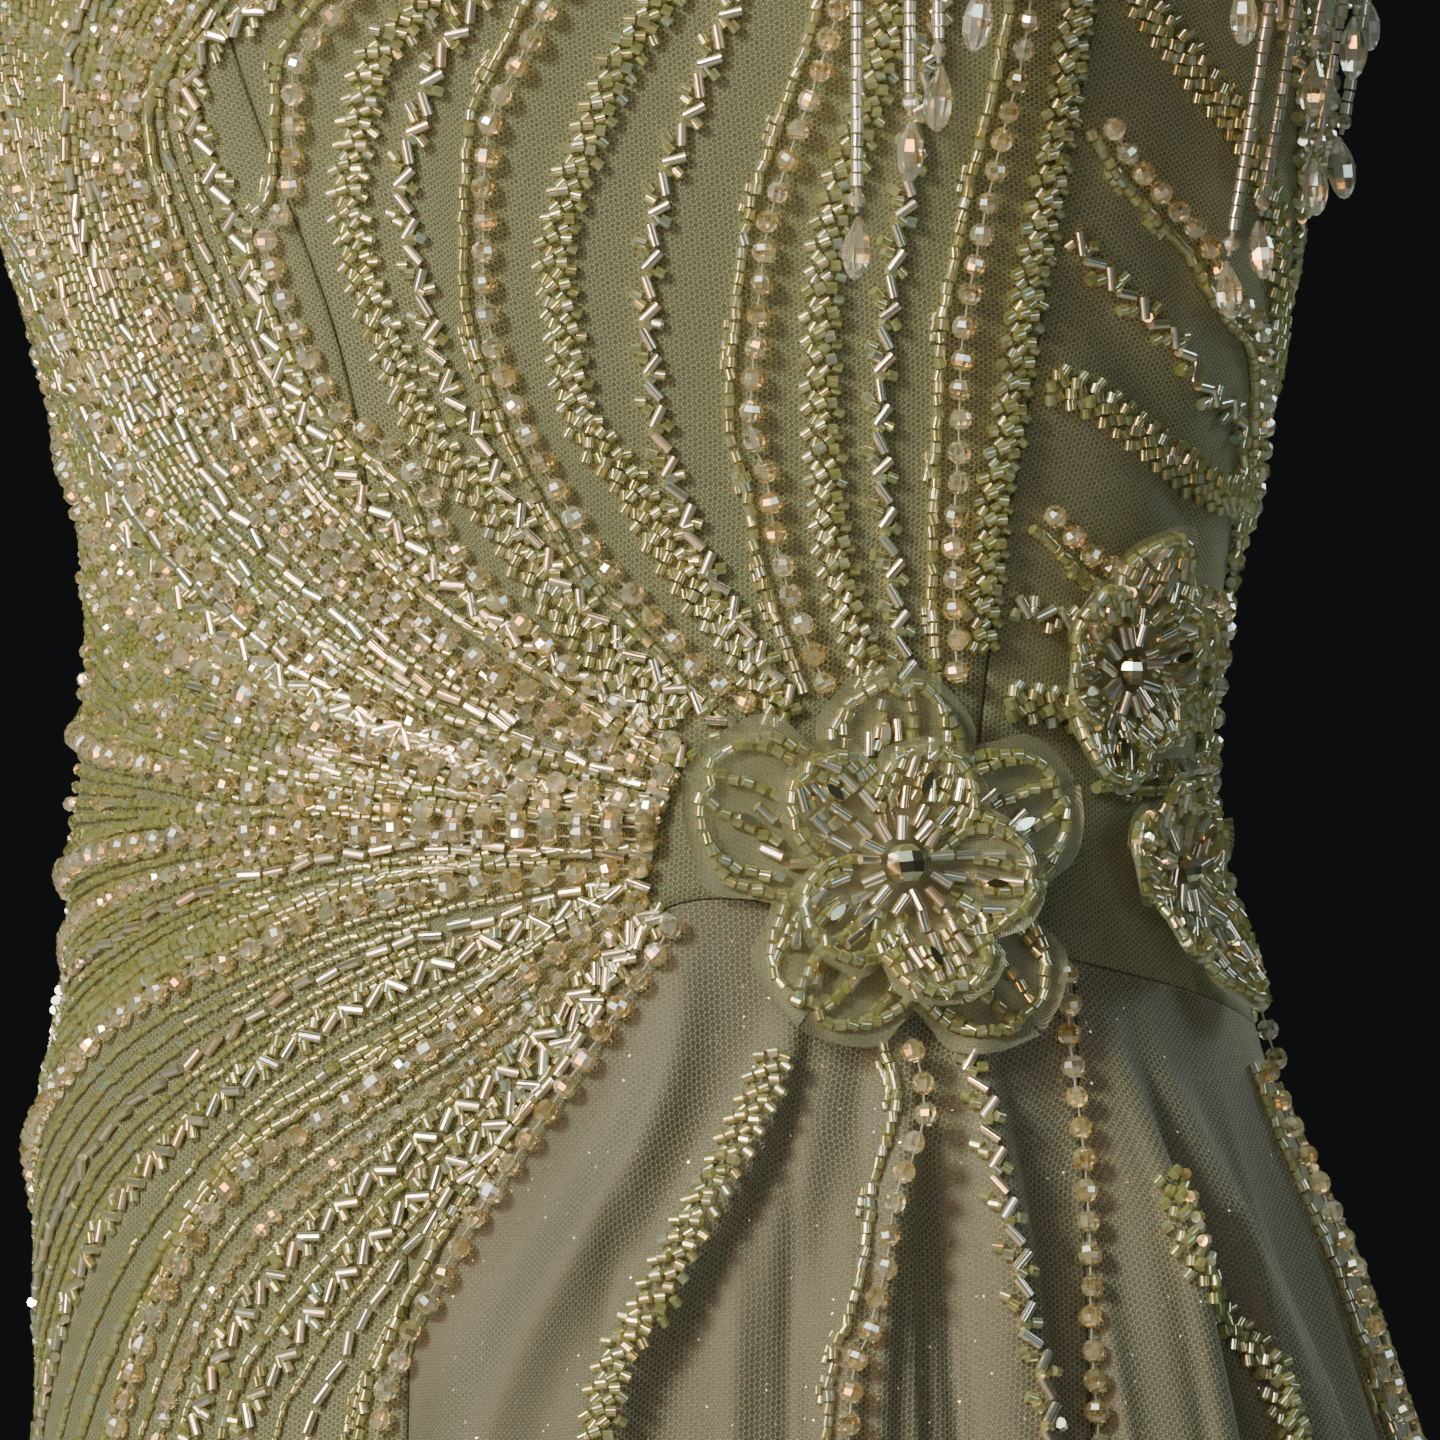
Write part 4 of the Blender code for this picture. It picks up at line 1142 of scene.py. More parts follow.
class Workbox:
    """The kinds of beads that one operator sews on, and how they go on the cloth."""

    def __init__(self, number, far=False):
        self.far = far
        self.sizes = bpy.context.scene.gown_beads
        self.kinds = ("seed", "plain_seed", "bugle", "crystal", "small_crystal", "thread")
        self.beads = {kind: Beads(number * 10 + i) for i, kind in enumerate(self.kinds)}
        self.dice = np.random.default_rng([SEED, number, 99])

    def seeds(self, row, aside=0.0, pitch=None, start=0.0, end=None, plain=False):
        """Seed beads end to end along a row."""
        size = self.sizes.seed
        scale = SMALL_SEED if plain else 1.0
        pitch = (pitch or size * SEED_PITCH) * scale
        end = row.length if end is None else end
        if end - start < pitch:
            return
        at = np.arange(start + pitch / 2, end, pitch)
        at = at + self.dice.normal(0.0, pitch * 0.05, len(at))
        shift = aside + self.dice.normal(0.0, size * 0.07, len(at))
        places, ahead, out = row.at(at, shift, size * SEED_HEIGHT * scale)
        self.beads["plain_seed" if plain or self.far else "seed"].add(places, ahead, out, 0.14, scale)

    def crystals(self, row, small=False):
        """Faceted beads on a thread, with gaps between them."""
        width = self.sizes.crystal * (SMALL_CRYSTAL if small else 1.0)
        pitch = width * (SMALL_CRYSTAL_PITCH if small else CRYSTAL_PITCH)
        at = np.arange(pitch / 2, row.length, pitch)
        if len(at) < 2:
            return
        at = at + self.dice.normal(0.0, width * 0.03, len(at))
        shift = self.dice.normal(0.0, width * 0.04, len(at))
        places, ahead, out = row.at(at, shift, width * CRYSTAL_HEIGHT)
        self.beads["small_crystal" if small else "crystal"].add(places, ahead, out, 0.14, spin=np.pi)
        gaps, ahead, out = row.at((at[1:] + at[:-1]) / 2, 0.0, width * THREAD_HEIGHT)
        self.beads["thread"].add(gaps, ahead, out, 0.05)

    def bugles(self, row):
        """Bugles in line, with gaps between them."""
        pitch = self.sizes.bugle_length * BUGLE_PITCH
        at = np.arange(pitch / 2, row.length, pitch)
        if len(at) == 0:
            return
        at = at + self.dice.normal(0.0, pitch * 0.05, len(at))
        shift = self.dice.normal(0.0, BUGLE_DRIFT, len(at))
        places, ahead, out = row.at(at, shift, self.sizes.bugle_width * 0.5)
        self.beads["bugle"].add(places, ahead, out, 0.17, spin=0.5)

    def mixed(self, row):
        """Seed beads, bugles and small crystals in no order, end to end."""
        kinds, shares = zip(*[(line[0], line[1]) for line in MIXED_BEADS])
        lengths = {line[0]: getattr(self.sizes, line[2]) * line[3] for line in MIXED_BEADS}
        spots = {kind: [] for kind in kinds}
        reached = 0.0
        while reached < row.length - 0.004:
            kind = self.dice.choice(kinds, p=shares)
            spots[kind].append(reached + lengths[kind] / 2)
            reached += lengths[kind]
        for kind, _, _, _, girth, height, scale in MIXED_BEADS:
            at = np.array(spots[kind])
            if len(at):
                shift = self.dice.normal(0.0, MIXED_DRIFT, len(at))
                places, ahead, out = row.at(at, shift, getattr(self.sizes, girth) * height)
                self.beads[kind].add(places, ahead, out, 0.16, scale, np.pi)

    def crystal_row(self, row):
        """Crystals with a line of seed beads beside them."""
        self.crystals(row)
        self.seeds(row, aside=-self.sizes.crystal * LINE_ASIDE, pitch=self.sizes.seed * LINE_PITCH)
        for start in self.dice.uniform(0.0, row.length, int(row.length / EXTRA_SPACING)):
            end = min(row.length, start + EXTRA_LENGTH)
            self.seeds(row, aside=-self.sizes.crystal * EXTRA_ASIDE, start=start, end=end, plain=True)

    def rope_row(self, row):
        """Short slanting stitches of seed beads up the row, over plain ones that fill between them."""
        size = self.sizes.seed
        at = np.arange(size, row.length, size * ROPE_PITCH)
        if len(at) == 0:
            return
        for aside, along, level, slant, plain in ROPE_STITCH:
            drift = self.dice.normal(0.0, size * 0.08, (3, len(at)))
            distance = np.clip(at + along * size + drift[0], 0.0, row.length)
            places, ahead, out = row.at(distance, aside * size + drift[1], level * size + drift[2] * 0.4)
            lean = np.radians(slant) + self.dice.normal(0.0, 0.07, len(at))
            side = np.cross(out, ahead)
            thread = side * np.cos(lean)[:, None] - ahead * np.sin(lean)[:, None]
            kind = "plain_seed" if plain or self.far else "seed"
            self.beads[kind].add(places, thread, out, 0.08)

    def zigzag_row(self, row):
        """Bugles that lean by turns to one side and the other, with seed beads at their joints."""
        pitch = self.sizes.bugle_length * ZIGZAG_PITCH
        at = np.arange(pitch / 2, row.length, pitch)
        if len(at) == 0:
            return
        even = np.arange(len(at)) % 2 == 0
        tilt = np.radians(np.where(even, *ZIGZAG_LEANS)) + self.dice.normal(0.0, 0.12, len(at))
        shift = np.where(even, ZIGZAG_SHIFT, -ZIGZAG_SHIFT) + self.dice.normal(0.0, 0.00012, len(at))
        places, ahead, out = row.at(at, shift, self.sizes.bugle_width * 0.55)
        side = np.cross(out, ahead)
        direction = ahead * np.cos(tilt)[:, None] + side * np.sin(tilt)[:, None]
        self.beads["bugle"].add(places, direction, out, 0.04)
        kind = "plain_seed" if self.far else "seed"
        for aside, before, chosen in ZIGZAG_SEEDS:
            joints = at[even == chosen] + pitch * before
            joints = joints[(joints > 0.0) & (joints < row.length)]
            if len(joints):
                places, ahead, out = row.at(joints, aside * self.sizes.seed, self.sizes.seed * 0.46)
                side = np.cross(out, ahead)
                self.beads[kind].add(places, side + ahead * 0.4, out, 0.25)

    def sew(self, kind, row):
        """One row by the name of its stitch."""
        {
            "crystals": self.crystal_row,
            "beads": self.crystals,
            "beads_small": lambda line: self.crystals(line, small=True),
            "mixed": self.mixed,
            "plain_seeds": lambda line: self.seeds(line, plain=True),
            "rope": self.rope_row,
            "zigzag": self.zigzag_row,
            "bugles": self.bugles,
            "seeds": self.seeds,
        }[kind](row)

    def finish(self, name):
        """Joins what was sewn on to pieces of one kind of glass each."""
        glass = {"seed": "seed_glass", "plain_seed": "seed_glass", "bugle": "bugle_glass",
                 "crystal": "crystal_glass", "small_crystal": "crystal_glass", "thread": "thread"}
        made = []
        for part, kinds in (("seeds", ("seed", "plain_seed")), ("cut", self.kinds[2:])):
            groups = [(kind, self.beads[kind], glass[kind]) for kind in kinds]
            if sum(beads.count() for _, beads, _ in groups):
                made.append(joined_beads(f"{name}_{part}", groups))
        return made


# ---------- where the rows run
# Rows of the front, from the neckline down to the large flower, as seen in the frame.
FRONT_ROWS = (
    ("crystals", ((570, -440), (540, -320), (490, -200), (420, -90), (345, 0), (300, 60), (297, 110),
     (290, 200), (270, 235), (285, 290), (310, 350), (345, 410), (395, 450), (430, 490), (450, 540),
     (500, 600), (560, 660), (630, 715), (690, 760))),
    ("rope", ((625, -440), (600, -320), (560, -200), (500, -90), (430, 0), (380, 50), (360, 120),
     (350, 200), (365, 280), (385, 330), (410, 400), (440, 450), (500, 520), (530, 570), (570, 620),
     (620, 670), (680, 720))),
    ("zigzag", ((665, -450), (645, -330), (605, -210), (550, -100), (480, 0), (440, 60), (425, 110),
     (405, 180), (415, 250), (430, 320), (450, 390), (480, 430), (500, 480), (530, 530), (560, 580),
     (600, 620), (640, 660), (735, 735))),
    ("crystals", ((705, -450), (690, -330), (655, -210), (610, -100), (550, 0), (520, 60), (490, 130),
     (485, 260), (490, 320), (510, 390), (540, 460), (570, 510), (600, 560), (640, 600), (700, 670),
     (750, 710))),
    ("rope", ((775, -450), (762, -330), (740, -210), (705, -100), (660, 0), (620, 60), (590, 130),
     (565, 200), (555, 270), (565, 340), (580, 420), (620, 470), (660, 540), (700, 600), (740, 650),
     (780, 720))),
    ("zigzag", ((835, -450), (825, -330), (805, -210), (775, -100), (735, 0), (710, 60), (685, 130),
     (660, 200), (650, 280), (650, 350), (660, 430), (680, 500), (700, 550), (740, 620), (790, 700))),
    ("crystals", ((930, -460), (920, -340), (900, -220), (870, -100), (840, 0), (815, 80), (790, 150),
     (767, 228), (758, 300), (750, 400), (752, 440), (765, 475), (775, 540), (792, 605), (825, 690))),
    ("rope", ((968, -455), (955, -330), (938, -210), (918, -100), (890, 0), (880, 60), (850, 150),
     (830, 220), (820, 300), (820, 400), (825, 500), (840, 590), (870, 680))),
    ("zigzag", ((1012, -450), (1000, -340), (985, -220), (965, -110), (940, 0), (922, 100), (905, 200),
     (895, 250), (885, 330), (880, 400), (880, 450), (885, 520), (895, 600), (905, 680))),
    ("crystals", ((1060, -450), (1060, -330), (1055, -220), (1045, -110), (1030, -20), (1018, 60),
     (1000, 130), (980, 220), (960, 330), (955, 440), (950, 530), (950, 600), (955, 700))),
    ("rope", ((1088, -100), (1075, 0), (1060, 100), (1045, 190), (1030, 270), (1015, 350), (1005, 430),
     (990, 500), (985, 570), (975, 660))),
)

# Rows that fan out of the large flower over the wearer's right side, in order
# round the flower: as seen in the frame, then the hidden places beyond.
FAN_ROWS = (
    ("zigzag", ((690, 765), (640, 715), (560, 665), (470, 600), (400, 530), (345, 470), (300, 400),
     (265, 320), (245, 250), (215, 170), (195, 110), (205, 50), (270, 0), (350, -80), (430, -190),
     (490, -320), (520, -440)), ()),
    ("crystals", ((675, 785), (580, 725), (480, 660), (390, 590), (310, 510), (250, 420), (205, 330),
     (170, 250), (140, 160), (140, 80), (180, 0), (250, -90), (320, -200), (370, -320), (400, -430)), ()),
    ("bugles", ((670, 800), (600, 770), (500, 725), (400, 665), (300, 580), (220, 490), (165, 400),
     (120, 310), (80, 200), (70, 100), (90, 0), (150, -100), (220, -210), (270, -330), (300, -430)), ()),
    ("crystals", ((665, 812), (550, 780), (430, 730), (320, 665), (220, 580), (150, 500), (100, 400),
     (60, 300), (30, 200), (8, 110)), ((-72, -0.27), (-70, -0.24), (-67, -0.205))),
    ("zigzag", ((665, 817), (555, 793), (440, 752), (325, 700), (230, 635), (155, 565), (105, 480),
     (75, 400)), ((-86, -0.322), (-96, -0.296), (-106, -0.266), (-114, -0.215))),
    ("crystals", ((660, 822), (560, 805), (450, 775), (330, 735), (240, 690), (160, 630), (110, 560),
     (85, 490)), ((-92, -0.356), (-112, -0.328), (-140, -0.29), (-166, -0.235), (-178.5, -0.215))),
    ("crystals", ((660, 830), (500, 820), (380, 805), (250, 790), (150, 765), (85, 735)), ((-94, -0.414),
     (-120, -0.402), (-150, -0.38), (-178.5, -0.35))),
    ("crystals", ((660, 842), (500, 835), (330, 830), (200, 838), (120, 850), (75, 870)), ((-94, -0.446),
     (-120, -0.452), (-150, -0.452), (-178.5, -0.442))),
    ("bugles", ((655, 855), (500, 850), (380, 850), (240, 880), (130, 930), (70, 985)), ((-94, -0.476),
     (-120, -0.496), (-150, -0.512), (-178.5, -0.52))),
    ("crystals", ((655, 868), (520, 880), (365, 905), (255, 950), (140, 1010), (58, 1100)),
     ((-94, -0.505), (-120, -0.546), (-150, -0.585), (-178.5, -0.61))),
    ("zigzag", ((650, 880), (525, 930), (395, 988), (270, 1065), (160, 1160), (90, 1260), (50, 1390)),
     ((-93, -0.575), (-115, -0.64), (-145, -0.705), (-178.5, -0.76))),
    ("crystals", ((650, 895), (560, 950), (460, 1030), (370, 1090), (240, 1185), (165, 1310), (120, 1440)),
     ((-66, -0.59), (-80, -0.66), (-104, -0.76), (-140, -0.865), (-178.5, -0.95))),
    ("zigzag", ((655, 905), (600, 970), (505, 1075), (405, 1155), (310, 1240), (240, 1330), (195, 1440)),
     ((-51.5, -0.59), (-60, -0.7), (-80, -0.86), (-110, -1.02), (-150, -1.15))),
    ("zigzag", ((665, 910), (600, 990), (500, 1120), (410, 1205), (335, 1290), (280, 1370), (245, 1440)),
     ((-43.5, -0.6), (-49, -0.73), (-61, -0.92), (-84, -1.11), (-116, -1.26))),
    ("crystals", ((680, 915), (625, 1000), (550, 1110), (485, 1205), (430, 1300), (400, 1370), (380, 1440)),
     ((-29, -0.62), (-33, -0.78), (-39, -0.98), (-48, -1.18))),
)
# What fills the fan between each row and the next: how often the gap is halved
# at most, the narrowest spacing for one more line, and the middle line's stitch.
FAN_BANDS = (
    (3, 0.0021, "mixed"), (4, 0.0019, "beads_small"), (4, 0.0019, "mixed"), (4, 0.0019, "bugles"),
    (4, 0.0019, "beads_small"), (4, 0.0019, "mixed"), (3, 0.0019, "mixed"), (3, 0.0020, "beads_small"),
    (3, 0.0021, "seeds"), (3, 0.0022, "bugles"), (2, 0.0026, "seeds"), (2, 0.0027, "beads_small"),
    (1, 0.0028, "seeds"), (2, 0.0030, "bugles"),
)
FAN_MIDDLE = 7           # number of rows in the fan's upper piece
MIXED_BANDS = 6          # bands, from the top, whose lines are all mixed
HIDDEN_RANKS = 2

# Rows on the left side panel, from the princess seam down and back.
SIDE_ROWS = (
    ("rope", ((1110, -400), (1170, -330), (1235, -250), (1290, -170)), ((80, -0.255), (92, -0.275))),
    ("crystals", ((1112, -280), (1170, -210), (1230, -120), (1290, -30)), ((80, -0.29), (95, -0.312))),
    ("zigzag", ((1112, -160), (1165, -95), (1220, -40), (1265, 0), (1290, 70)), ((82, -0.318),
     (98, -0.34))),
    ("rope", ((1105, -60), (1140, 0), (1170, 40), (1210, 90), (1240, 130), (1262, 180)), ((84, -0.34),
     (100, -0.362))),
    ("crystals", ((1100, 115), (1130, 165), (1160, 200), (1190, 230), (1210, 265), (1230, 300),
     (1255, 340)), ((84, -0.362), (100, -0.384))),
    ("zigzag", ((1070, 235), (1100, 270), (1140, 310), (1170, 340), (1200, 390), (1236, 425)),
     ((84, -0.381), (102, -0.404))),
    ("rope", ((1040, 380), (1090, 400), (1130, 430), (1170, 460), (1210, 490), (1240, 520)),
     ((86, -0.402), (104, -0.424))),
    ("crystals", ((1040, 510), (1065, 530), (1090, 555), (1150, 590), (1215, 615)), ((86, -0.419),
     (106, -0.444))),
    ("zigzag", ((1010, 605), (1040, 612), (1110, 630), (1205, 665)), ((86, -0.434), (108, -0.462))),
    ("rope", ((1000, 700), (1080, 712), (1165, 720), (1200, 718)), ((84, -0.44), (104, -0.47))),
    ("crystals", ((1090, 765), (1150, 770), (1200, 772)), ((84, -0.452), (96, -0.468))),
)

# Rows that run down the skirt.
SKIRT_ROWS = (
    ("rope", ((780, 1050), (740, 1140), (700, 1210), (650, 1310), (600, 1430)), ((-5.5, -0.64),
     (-8.5, -0.8), (-11, -0.96))),
    ("crystals", ((905, 1040), (915, 1090), (910, 1150), (895, 1200), (885, 1270), (870, 1330),
     (850, 1440)), ((17, -0.64), (13, -0.82), (10, -1.0))),
    ("zigzag", ((965, 1050), (985, 1100), (1000, 1180), (1020, 1270), (1025, 1330), (1045, 1440)),
     ((33, -0.66), (28, -0.86), (26, -0.98))),
    ("beads", ((1060, 960), (1065, 1050), (1075, 1130), (1085, 1240), (1095, 1440)), ((41, -0.64),
     (37.5, -0.8))),
    ("rope", ((1170, 1170), (1200, 1270), (1240, 1340), (1290, 1440)), ((62, -0.64), (59.5, -0.86))),
    ("beads", ((1240, 960), (1265, 1020), (1285, 1090)), ()),
)
# Rows on the skirt's hidden folds: stitch, angles and heights from the hip seam down.
HIDDEN_SKIRT_ROWS = (
    ("crystals", ((76, -0.478), (78, -0.56), (76, -0.76), (73.5, -0.98))),
    ("zigzag", ((93, -0.484), (93, -0.56), (91, -0.78), (88, -1.06))),
    ("rope", ((110, -0.49), (108, -0.57), (106, -0.74), (103.5, -0.92))),
    ("crystals", ((126, -0.494), (124, -0.57), (122, -0.78), (119.5, -1.02))),
    ("zigzag", ((141, -0.5), (139.5, -0.58), (137.5, -0.76), (135.5, -0.94))),
)
# Rows over the left half of the back, from the centre back round to the side.
BACK_LEFT_ROWS = (
    ("crystals", ((178.5, -0.215), (166, -0.235), (140, -0.268), (110, -0.305), (97, -0.322))),
    ("rope", ((178.5, -0.262), (160, -0.276), (136, -0.3), (112, -0.336), (102, -0.352))),
    ("zigzag", ((178.5, -0.306), (160, -0.314), (136, -0.336), (114, -0.366), (104, -0.38))),
    ("crystals", ((178.5, -0.35), (158, -0.354), (136, -0.37), (116, -0.396), (106, -0.409))),
    ("rope", ((178.5, -0.396), (158, -0.396), (138, -0.406), (120, -0.424), (108, -0.436))),
    ("crystals", ((178.5, -0.442), (158, -0.438), (138, -0.442), (122, -0.454), (112, -0.466))),
    ("zigzag", ((178.5, -0.52), (166, -0.516), (149, -0.508))),
    ("crystals", ((178.5, -0.61), (166, -0.604), (149, -0.59))),
    ("rope", ((178.5, -0.76), (166, -0.748), (149, -0.728))),
)


class LooseRow:
    """A line that isn't on the gown's own surface, such as a petal's edge, a strap or a strand."""

    def __init__(self, places, out):
        self.places = np.asarray(places, float)
        self.out = np.broadcast_to(out, self.places.shape)
        self.travel = travelled(self.places)
        self.length = self.travel[-1]

    def at(self, distances, aside=0.0, up=0.0):
        distances = np.asarray(distances, float)
        before = place_at(self, self.places, np.maximum(distances - LOOSE_STEP, 0.0))
        after = place_at(self, self.places, np.minimum(distances + LOOSE_STEP, self.length))
        ahead = after - before
        ahead /= np.linalg.norm(ahead, axis=1, keepdims=True)
        out = place_at(self, self.out, distances)
        out = out - ahead * np.sum(ahead * out, axis=1, keepdims=True)
        out /= np.linalg.norm(out, axis=1, keepdims=True)
        side = np.cross(out, ahead)
        shift = np.broadcast_to(aside, distances.shape)[:, None]
        lift = np.broadcast_to(up, distances.shape)[:, None]
        return place_at(self, self.places, distances) + side * shift + out * lift, ahead, out


# ---------- flowers
# Layers of petals: name, angle and height of the heart, lift at the heart and
# rise to the tips, then for each petal its bearing from straight up, its
# length and its width.
FLOWER_LAYERS = (
    ("flower_hip_outer", 28.9, -0.4408, 0.0014, 0.0042, (
        (3.0, 0.0380, 0.0310), (68.0, 0.0410, 0.0310), (143.0, 0.0385, 0.0330),
        (217.0, 0.0370, 0.0330), (292.0, 0.0460, 0.0340))),
    ("flower_hip_inner", 28.9, -0.4408, 0.0054, 0.0050, (
        (24.0, 0.0250, 0.0220), (97.0, 0.0270, 0.0250), (163.0, 0.0270, 0.0250),
        (232.0, 0.0260, 0.0230), (310.0, 0.0290, 0.0250))),
    ("flower_side_upper", 58.0, -0.4030, 0.0014, 0.0050, (
        (20.0, 0.0290, 0.0220), (75.0, 0.0240, 0.0230), (196.0, 0.0240, 0.0220),
        (255.0, 0.0190, 0.0180), (318.0, 0.0200, 0.0200), (140.0, 0.0190, 0.0190))),
    ("flower_side_lower", 65.5, -0.4420, 0.0022, 0.0050, (
        (146.0, 0.0320, 0.0220), (215.0, 0.0200, 0.0190), (280.0, 0.0220, 0.0190),
        (345.0, 0.0175, 0.0170), (62.0, 0.0190, 0.0180))),
)
FLOWER_HEARTS = (
    # layer that carries it, lift above the cloth, width of its stone in crystals
    ("flower_hip_inner", 0.0080, 1.7),
    ("flower_side_upper", 0.0040, 1.35),
    ("flower_side_lower", 0.0040, 1.35),
)


PETAL_RINGS = 22
PETAL_COLUMNS = 16
PETAL_ROOT = 0.04        # share of its length where a petal's cloth starts
PETAL_RUFFLE = 0.0013    # how far its edge waves in and out
PETAL_CURL = 0.0012      # how far its sides stand up
PETAL_CREASE = 0.0006    # depth of the crease along its middle


class Petal:
    """One petal: s runs from the flower's heart to the tip, t across from -1 to 1."""

    def __init__(self, layer, petal, dice):
        _, self.angle, self.z, self.lift, self.rise, _ = layer
        self.bearing = math.radians(petal[0])
        self.length = petal[1]
        self.width = petal[2]
        self.scale = float(per_degree(self.angle, self.z))
        self.out = outward(self.angle, self.z)
        self.phases = dice.uniform(0.0, 2 * np.pi, 3)
        self.notch = dice.uniform(0.05, 0.13)

    def places(self, s, t):
        s, t = np.broadcast_arrays(np.asarray(s, float), np.asarray(t, float))
        half = self.width / 2 * np.sin(np.pi * np.clip(s, 0.001, 0.999) ** 1.35) ** 0.55
        edge = np.abs(t) ** 3
        wavy = (1.0 + 0.05 * edge * np.sin(9.0 * s + self.phases[0])
                + 0.04 * edge * np.sin(17.0 * s + self.phases[1]))
        reach = s * self.length * (1.0 - self.notch * np.exp(-(t / 0.3) ** 2) * s ** 5)
        across = t * half * wavy
        x = reach * math.sin(self.bearing) + across * math.cos(self.bearing)
        h = reach * math.cos(self.bearing) - across * math.sin(self.bearing)
        ruffle = PETAL_RUFFLE * s * np.abs(t) ** 1.5 * np.sin(11.0 * s + 2.0 * np.sign(t) + self.phases[2])
        curl = PETAL_CURL * s * t * t - PETAL_CREASE * np.exp(-(t / 0.12) ** 2) * s
        out = self.lift + self.rise * s ** 1.6 + ruffle + curl
        return surface(self.angle + x / self.scale, self.z + h) + self.out * out[..., None]

    def normal(self, s, t):
        along = self.places(s + 0.01, t) - self.places(s - 0.01, t)
        across = self.places(s, t + 0.02) - self.places(s, t - 0.02)
        n = np.cross(along, across)
        n /= np.linalg.norm(n, axis=-1, keepdims=True)
        return n * np.sign(n @ self.out)[..., None]

    def row(self, s, t):
        """A line over the petal through arrays of s and t."""
        return LooseRow(self.places(s, t), self.normal(s, t))

    def edge_row(self):
        """A line just inside the petal's edge, from one side of its base round the tip to the other."""
        bend = np.linspace(0.0, 1.0, 90)
        s = 0.24 + 0.70 * np.sin(np.pi * bend) ** 0.55
        t = -0.88 * np.cos(np.pi * bend)
        return self.row(s, t)


def petal_sheet(name, petals, finish):
    """The petals of one layer as thin cloth."""
    down, across = PETAL_RINGS + 1, PETAL_COLUMNS + 1
    s = (np.linspace(PETAL_ROOT, 1.0, down) ** 0.9)[:, None] * np.ones((1, across))
    t = np.ones((down, 1)) * np.linspace(-1.0, 1.0, across)[None]
    places = np.concatenate([petal.places(s, t).reshape(-1, 3) for petal in petals])
    uv = np.concatenate([
        np.stack([t * petal.width / 2, s * petal.length], axis=-1).reshape(-1, 2) for petal in petals])
    quads = np.concatenate([grid_quads(down, across, down * across * k) for k in range(len(petals))])
    made = woven_sheet(name, places, quads[:, [0, 3, 2, 1]], uv, finish)
    turn_outward(made, petals[0].out)
    return made


def turn_outward(obj, out):
    """Flips a sheet's faces if most of them look inwards."""
    facing = sum(face.area * face.normal.dot(Vector(out)) for face in obj.data.polygons)
    if facing < 0.0:
        only(obj)
        bpy.ops.object.mode_set(mode="EDIT")
        bpy.ops.mesh.select_all(action="SELECT")
        bpy.ops.mesh.flip_normals()
        bpy.ops.object.mode_set(mode="OBJECT")


# Rays of bugles on a petal: how far across it, metres from the heart, and how many bugles.
PETAL_RAYS = ((0.0, 0.0075, 3), (-0.42, 0.0095, 2), (0.42, 0.0095, 2))
RAY_LENGTH = 0.0155
RAY_END = 0.80           # share of the petal's length where rays end at most
# Short lines of seed beads on a petal: how far across it, and where they start and end along it.
PETAL_LINES = ((-0.66, 0.42, 0.80), (0.66, 0.42, 0.80), (-0.22, 0.48, 0.88), (0.24, 0.55, 0.92))
STONE_ALONG = 0.66
STONE_ASIDE = 0.16
STONE_LIFT = 0.0012
HEART_RAYS = 13
HEART_GAP = 0.62         # from the heart's middle to its rays, in its stone's widths


def bead_petal(petal, box, stones):
    """Beads of one petal: its outline, rays of bugles and a stone."""
    box.seeds(petal.edge_row(), pitch=box.sizes.seed * 1.10)
    length = petal.length
    for t, start, bugles in PETAL_RAYS:
        end = start / length + RAY_LENGTH / length * (bugles / 3 + 0.4)
        s = np.linspace(start / length, min(RAY_END, end), 40)
        line = petal.row(s, np.full(40, t) + petal.phases[1] * 0.02)
        box.bugles(line)
    s = np.array([STONE_ALONG])
    t = np.array([STONE_ASIDE * (1.0 if petal.phases[0] > np.pi else -1.0)])
    here = petal.places(s, t)
    ahead = petal.places(s + 0.05, t) - here
    ahead /= np.linalg.norm(ahead)
    out = petal.normal(s, t)
    stones.add(here + out * STONE_LIFT, ahead, out, wobble=0.0, spin=0.0)
    for t, first, last in PETAL_LINES:
        s = np.linspace(first, last, 30)
        box.seeds(petal.row(s, np.full(30, t)), pitch=box.sizes.seed * 1.25)


def heart_beads(layer, lift, width, box, stones):
    """A stone in the middle and a ring of bugles round it."""
    _, angle, z, _, _, _ = layer
    out = outward(angle, z)
    heart = surface(angle, z) + out * lift
    up = np.array([0.0, 0.0, 1.0]) - out * out[2]
    up /= np.linalg.norm(up)
    side = np.cross(up, out)
    stones.add(heart + out * 0.001, up, out, wobble=0.05, scale=width)
    for k in range(HEART_RAYS):
        bearing = 2 * math.pi * k / HEART_RAYS + box.dice.normal(0.0, 0.08)
        ray = up * math.cos(bearing) + side * math.sin(bearing)
        start = box.sizes.crystal * width * HEART_GAP
        first = heart + ray * start - out * 0.0004
        last = heart + ray * (start + box.sizes.bugle_length) - out * 0.0002
        box.bugles(LooseRow([first, (first + last) / 2, last], out))


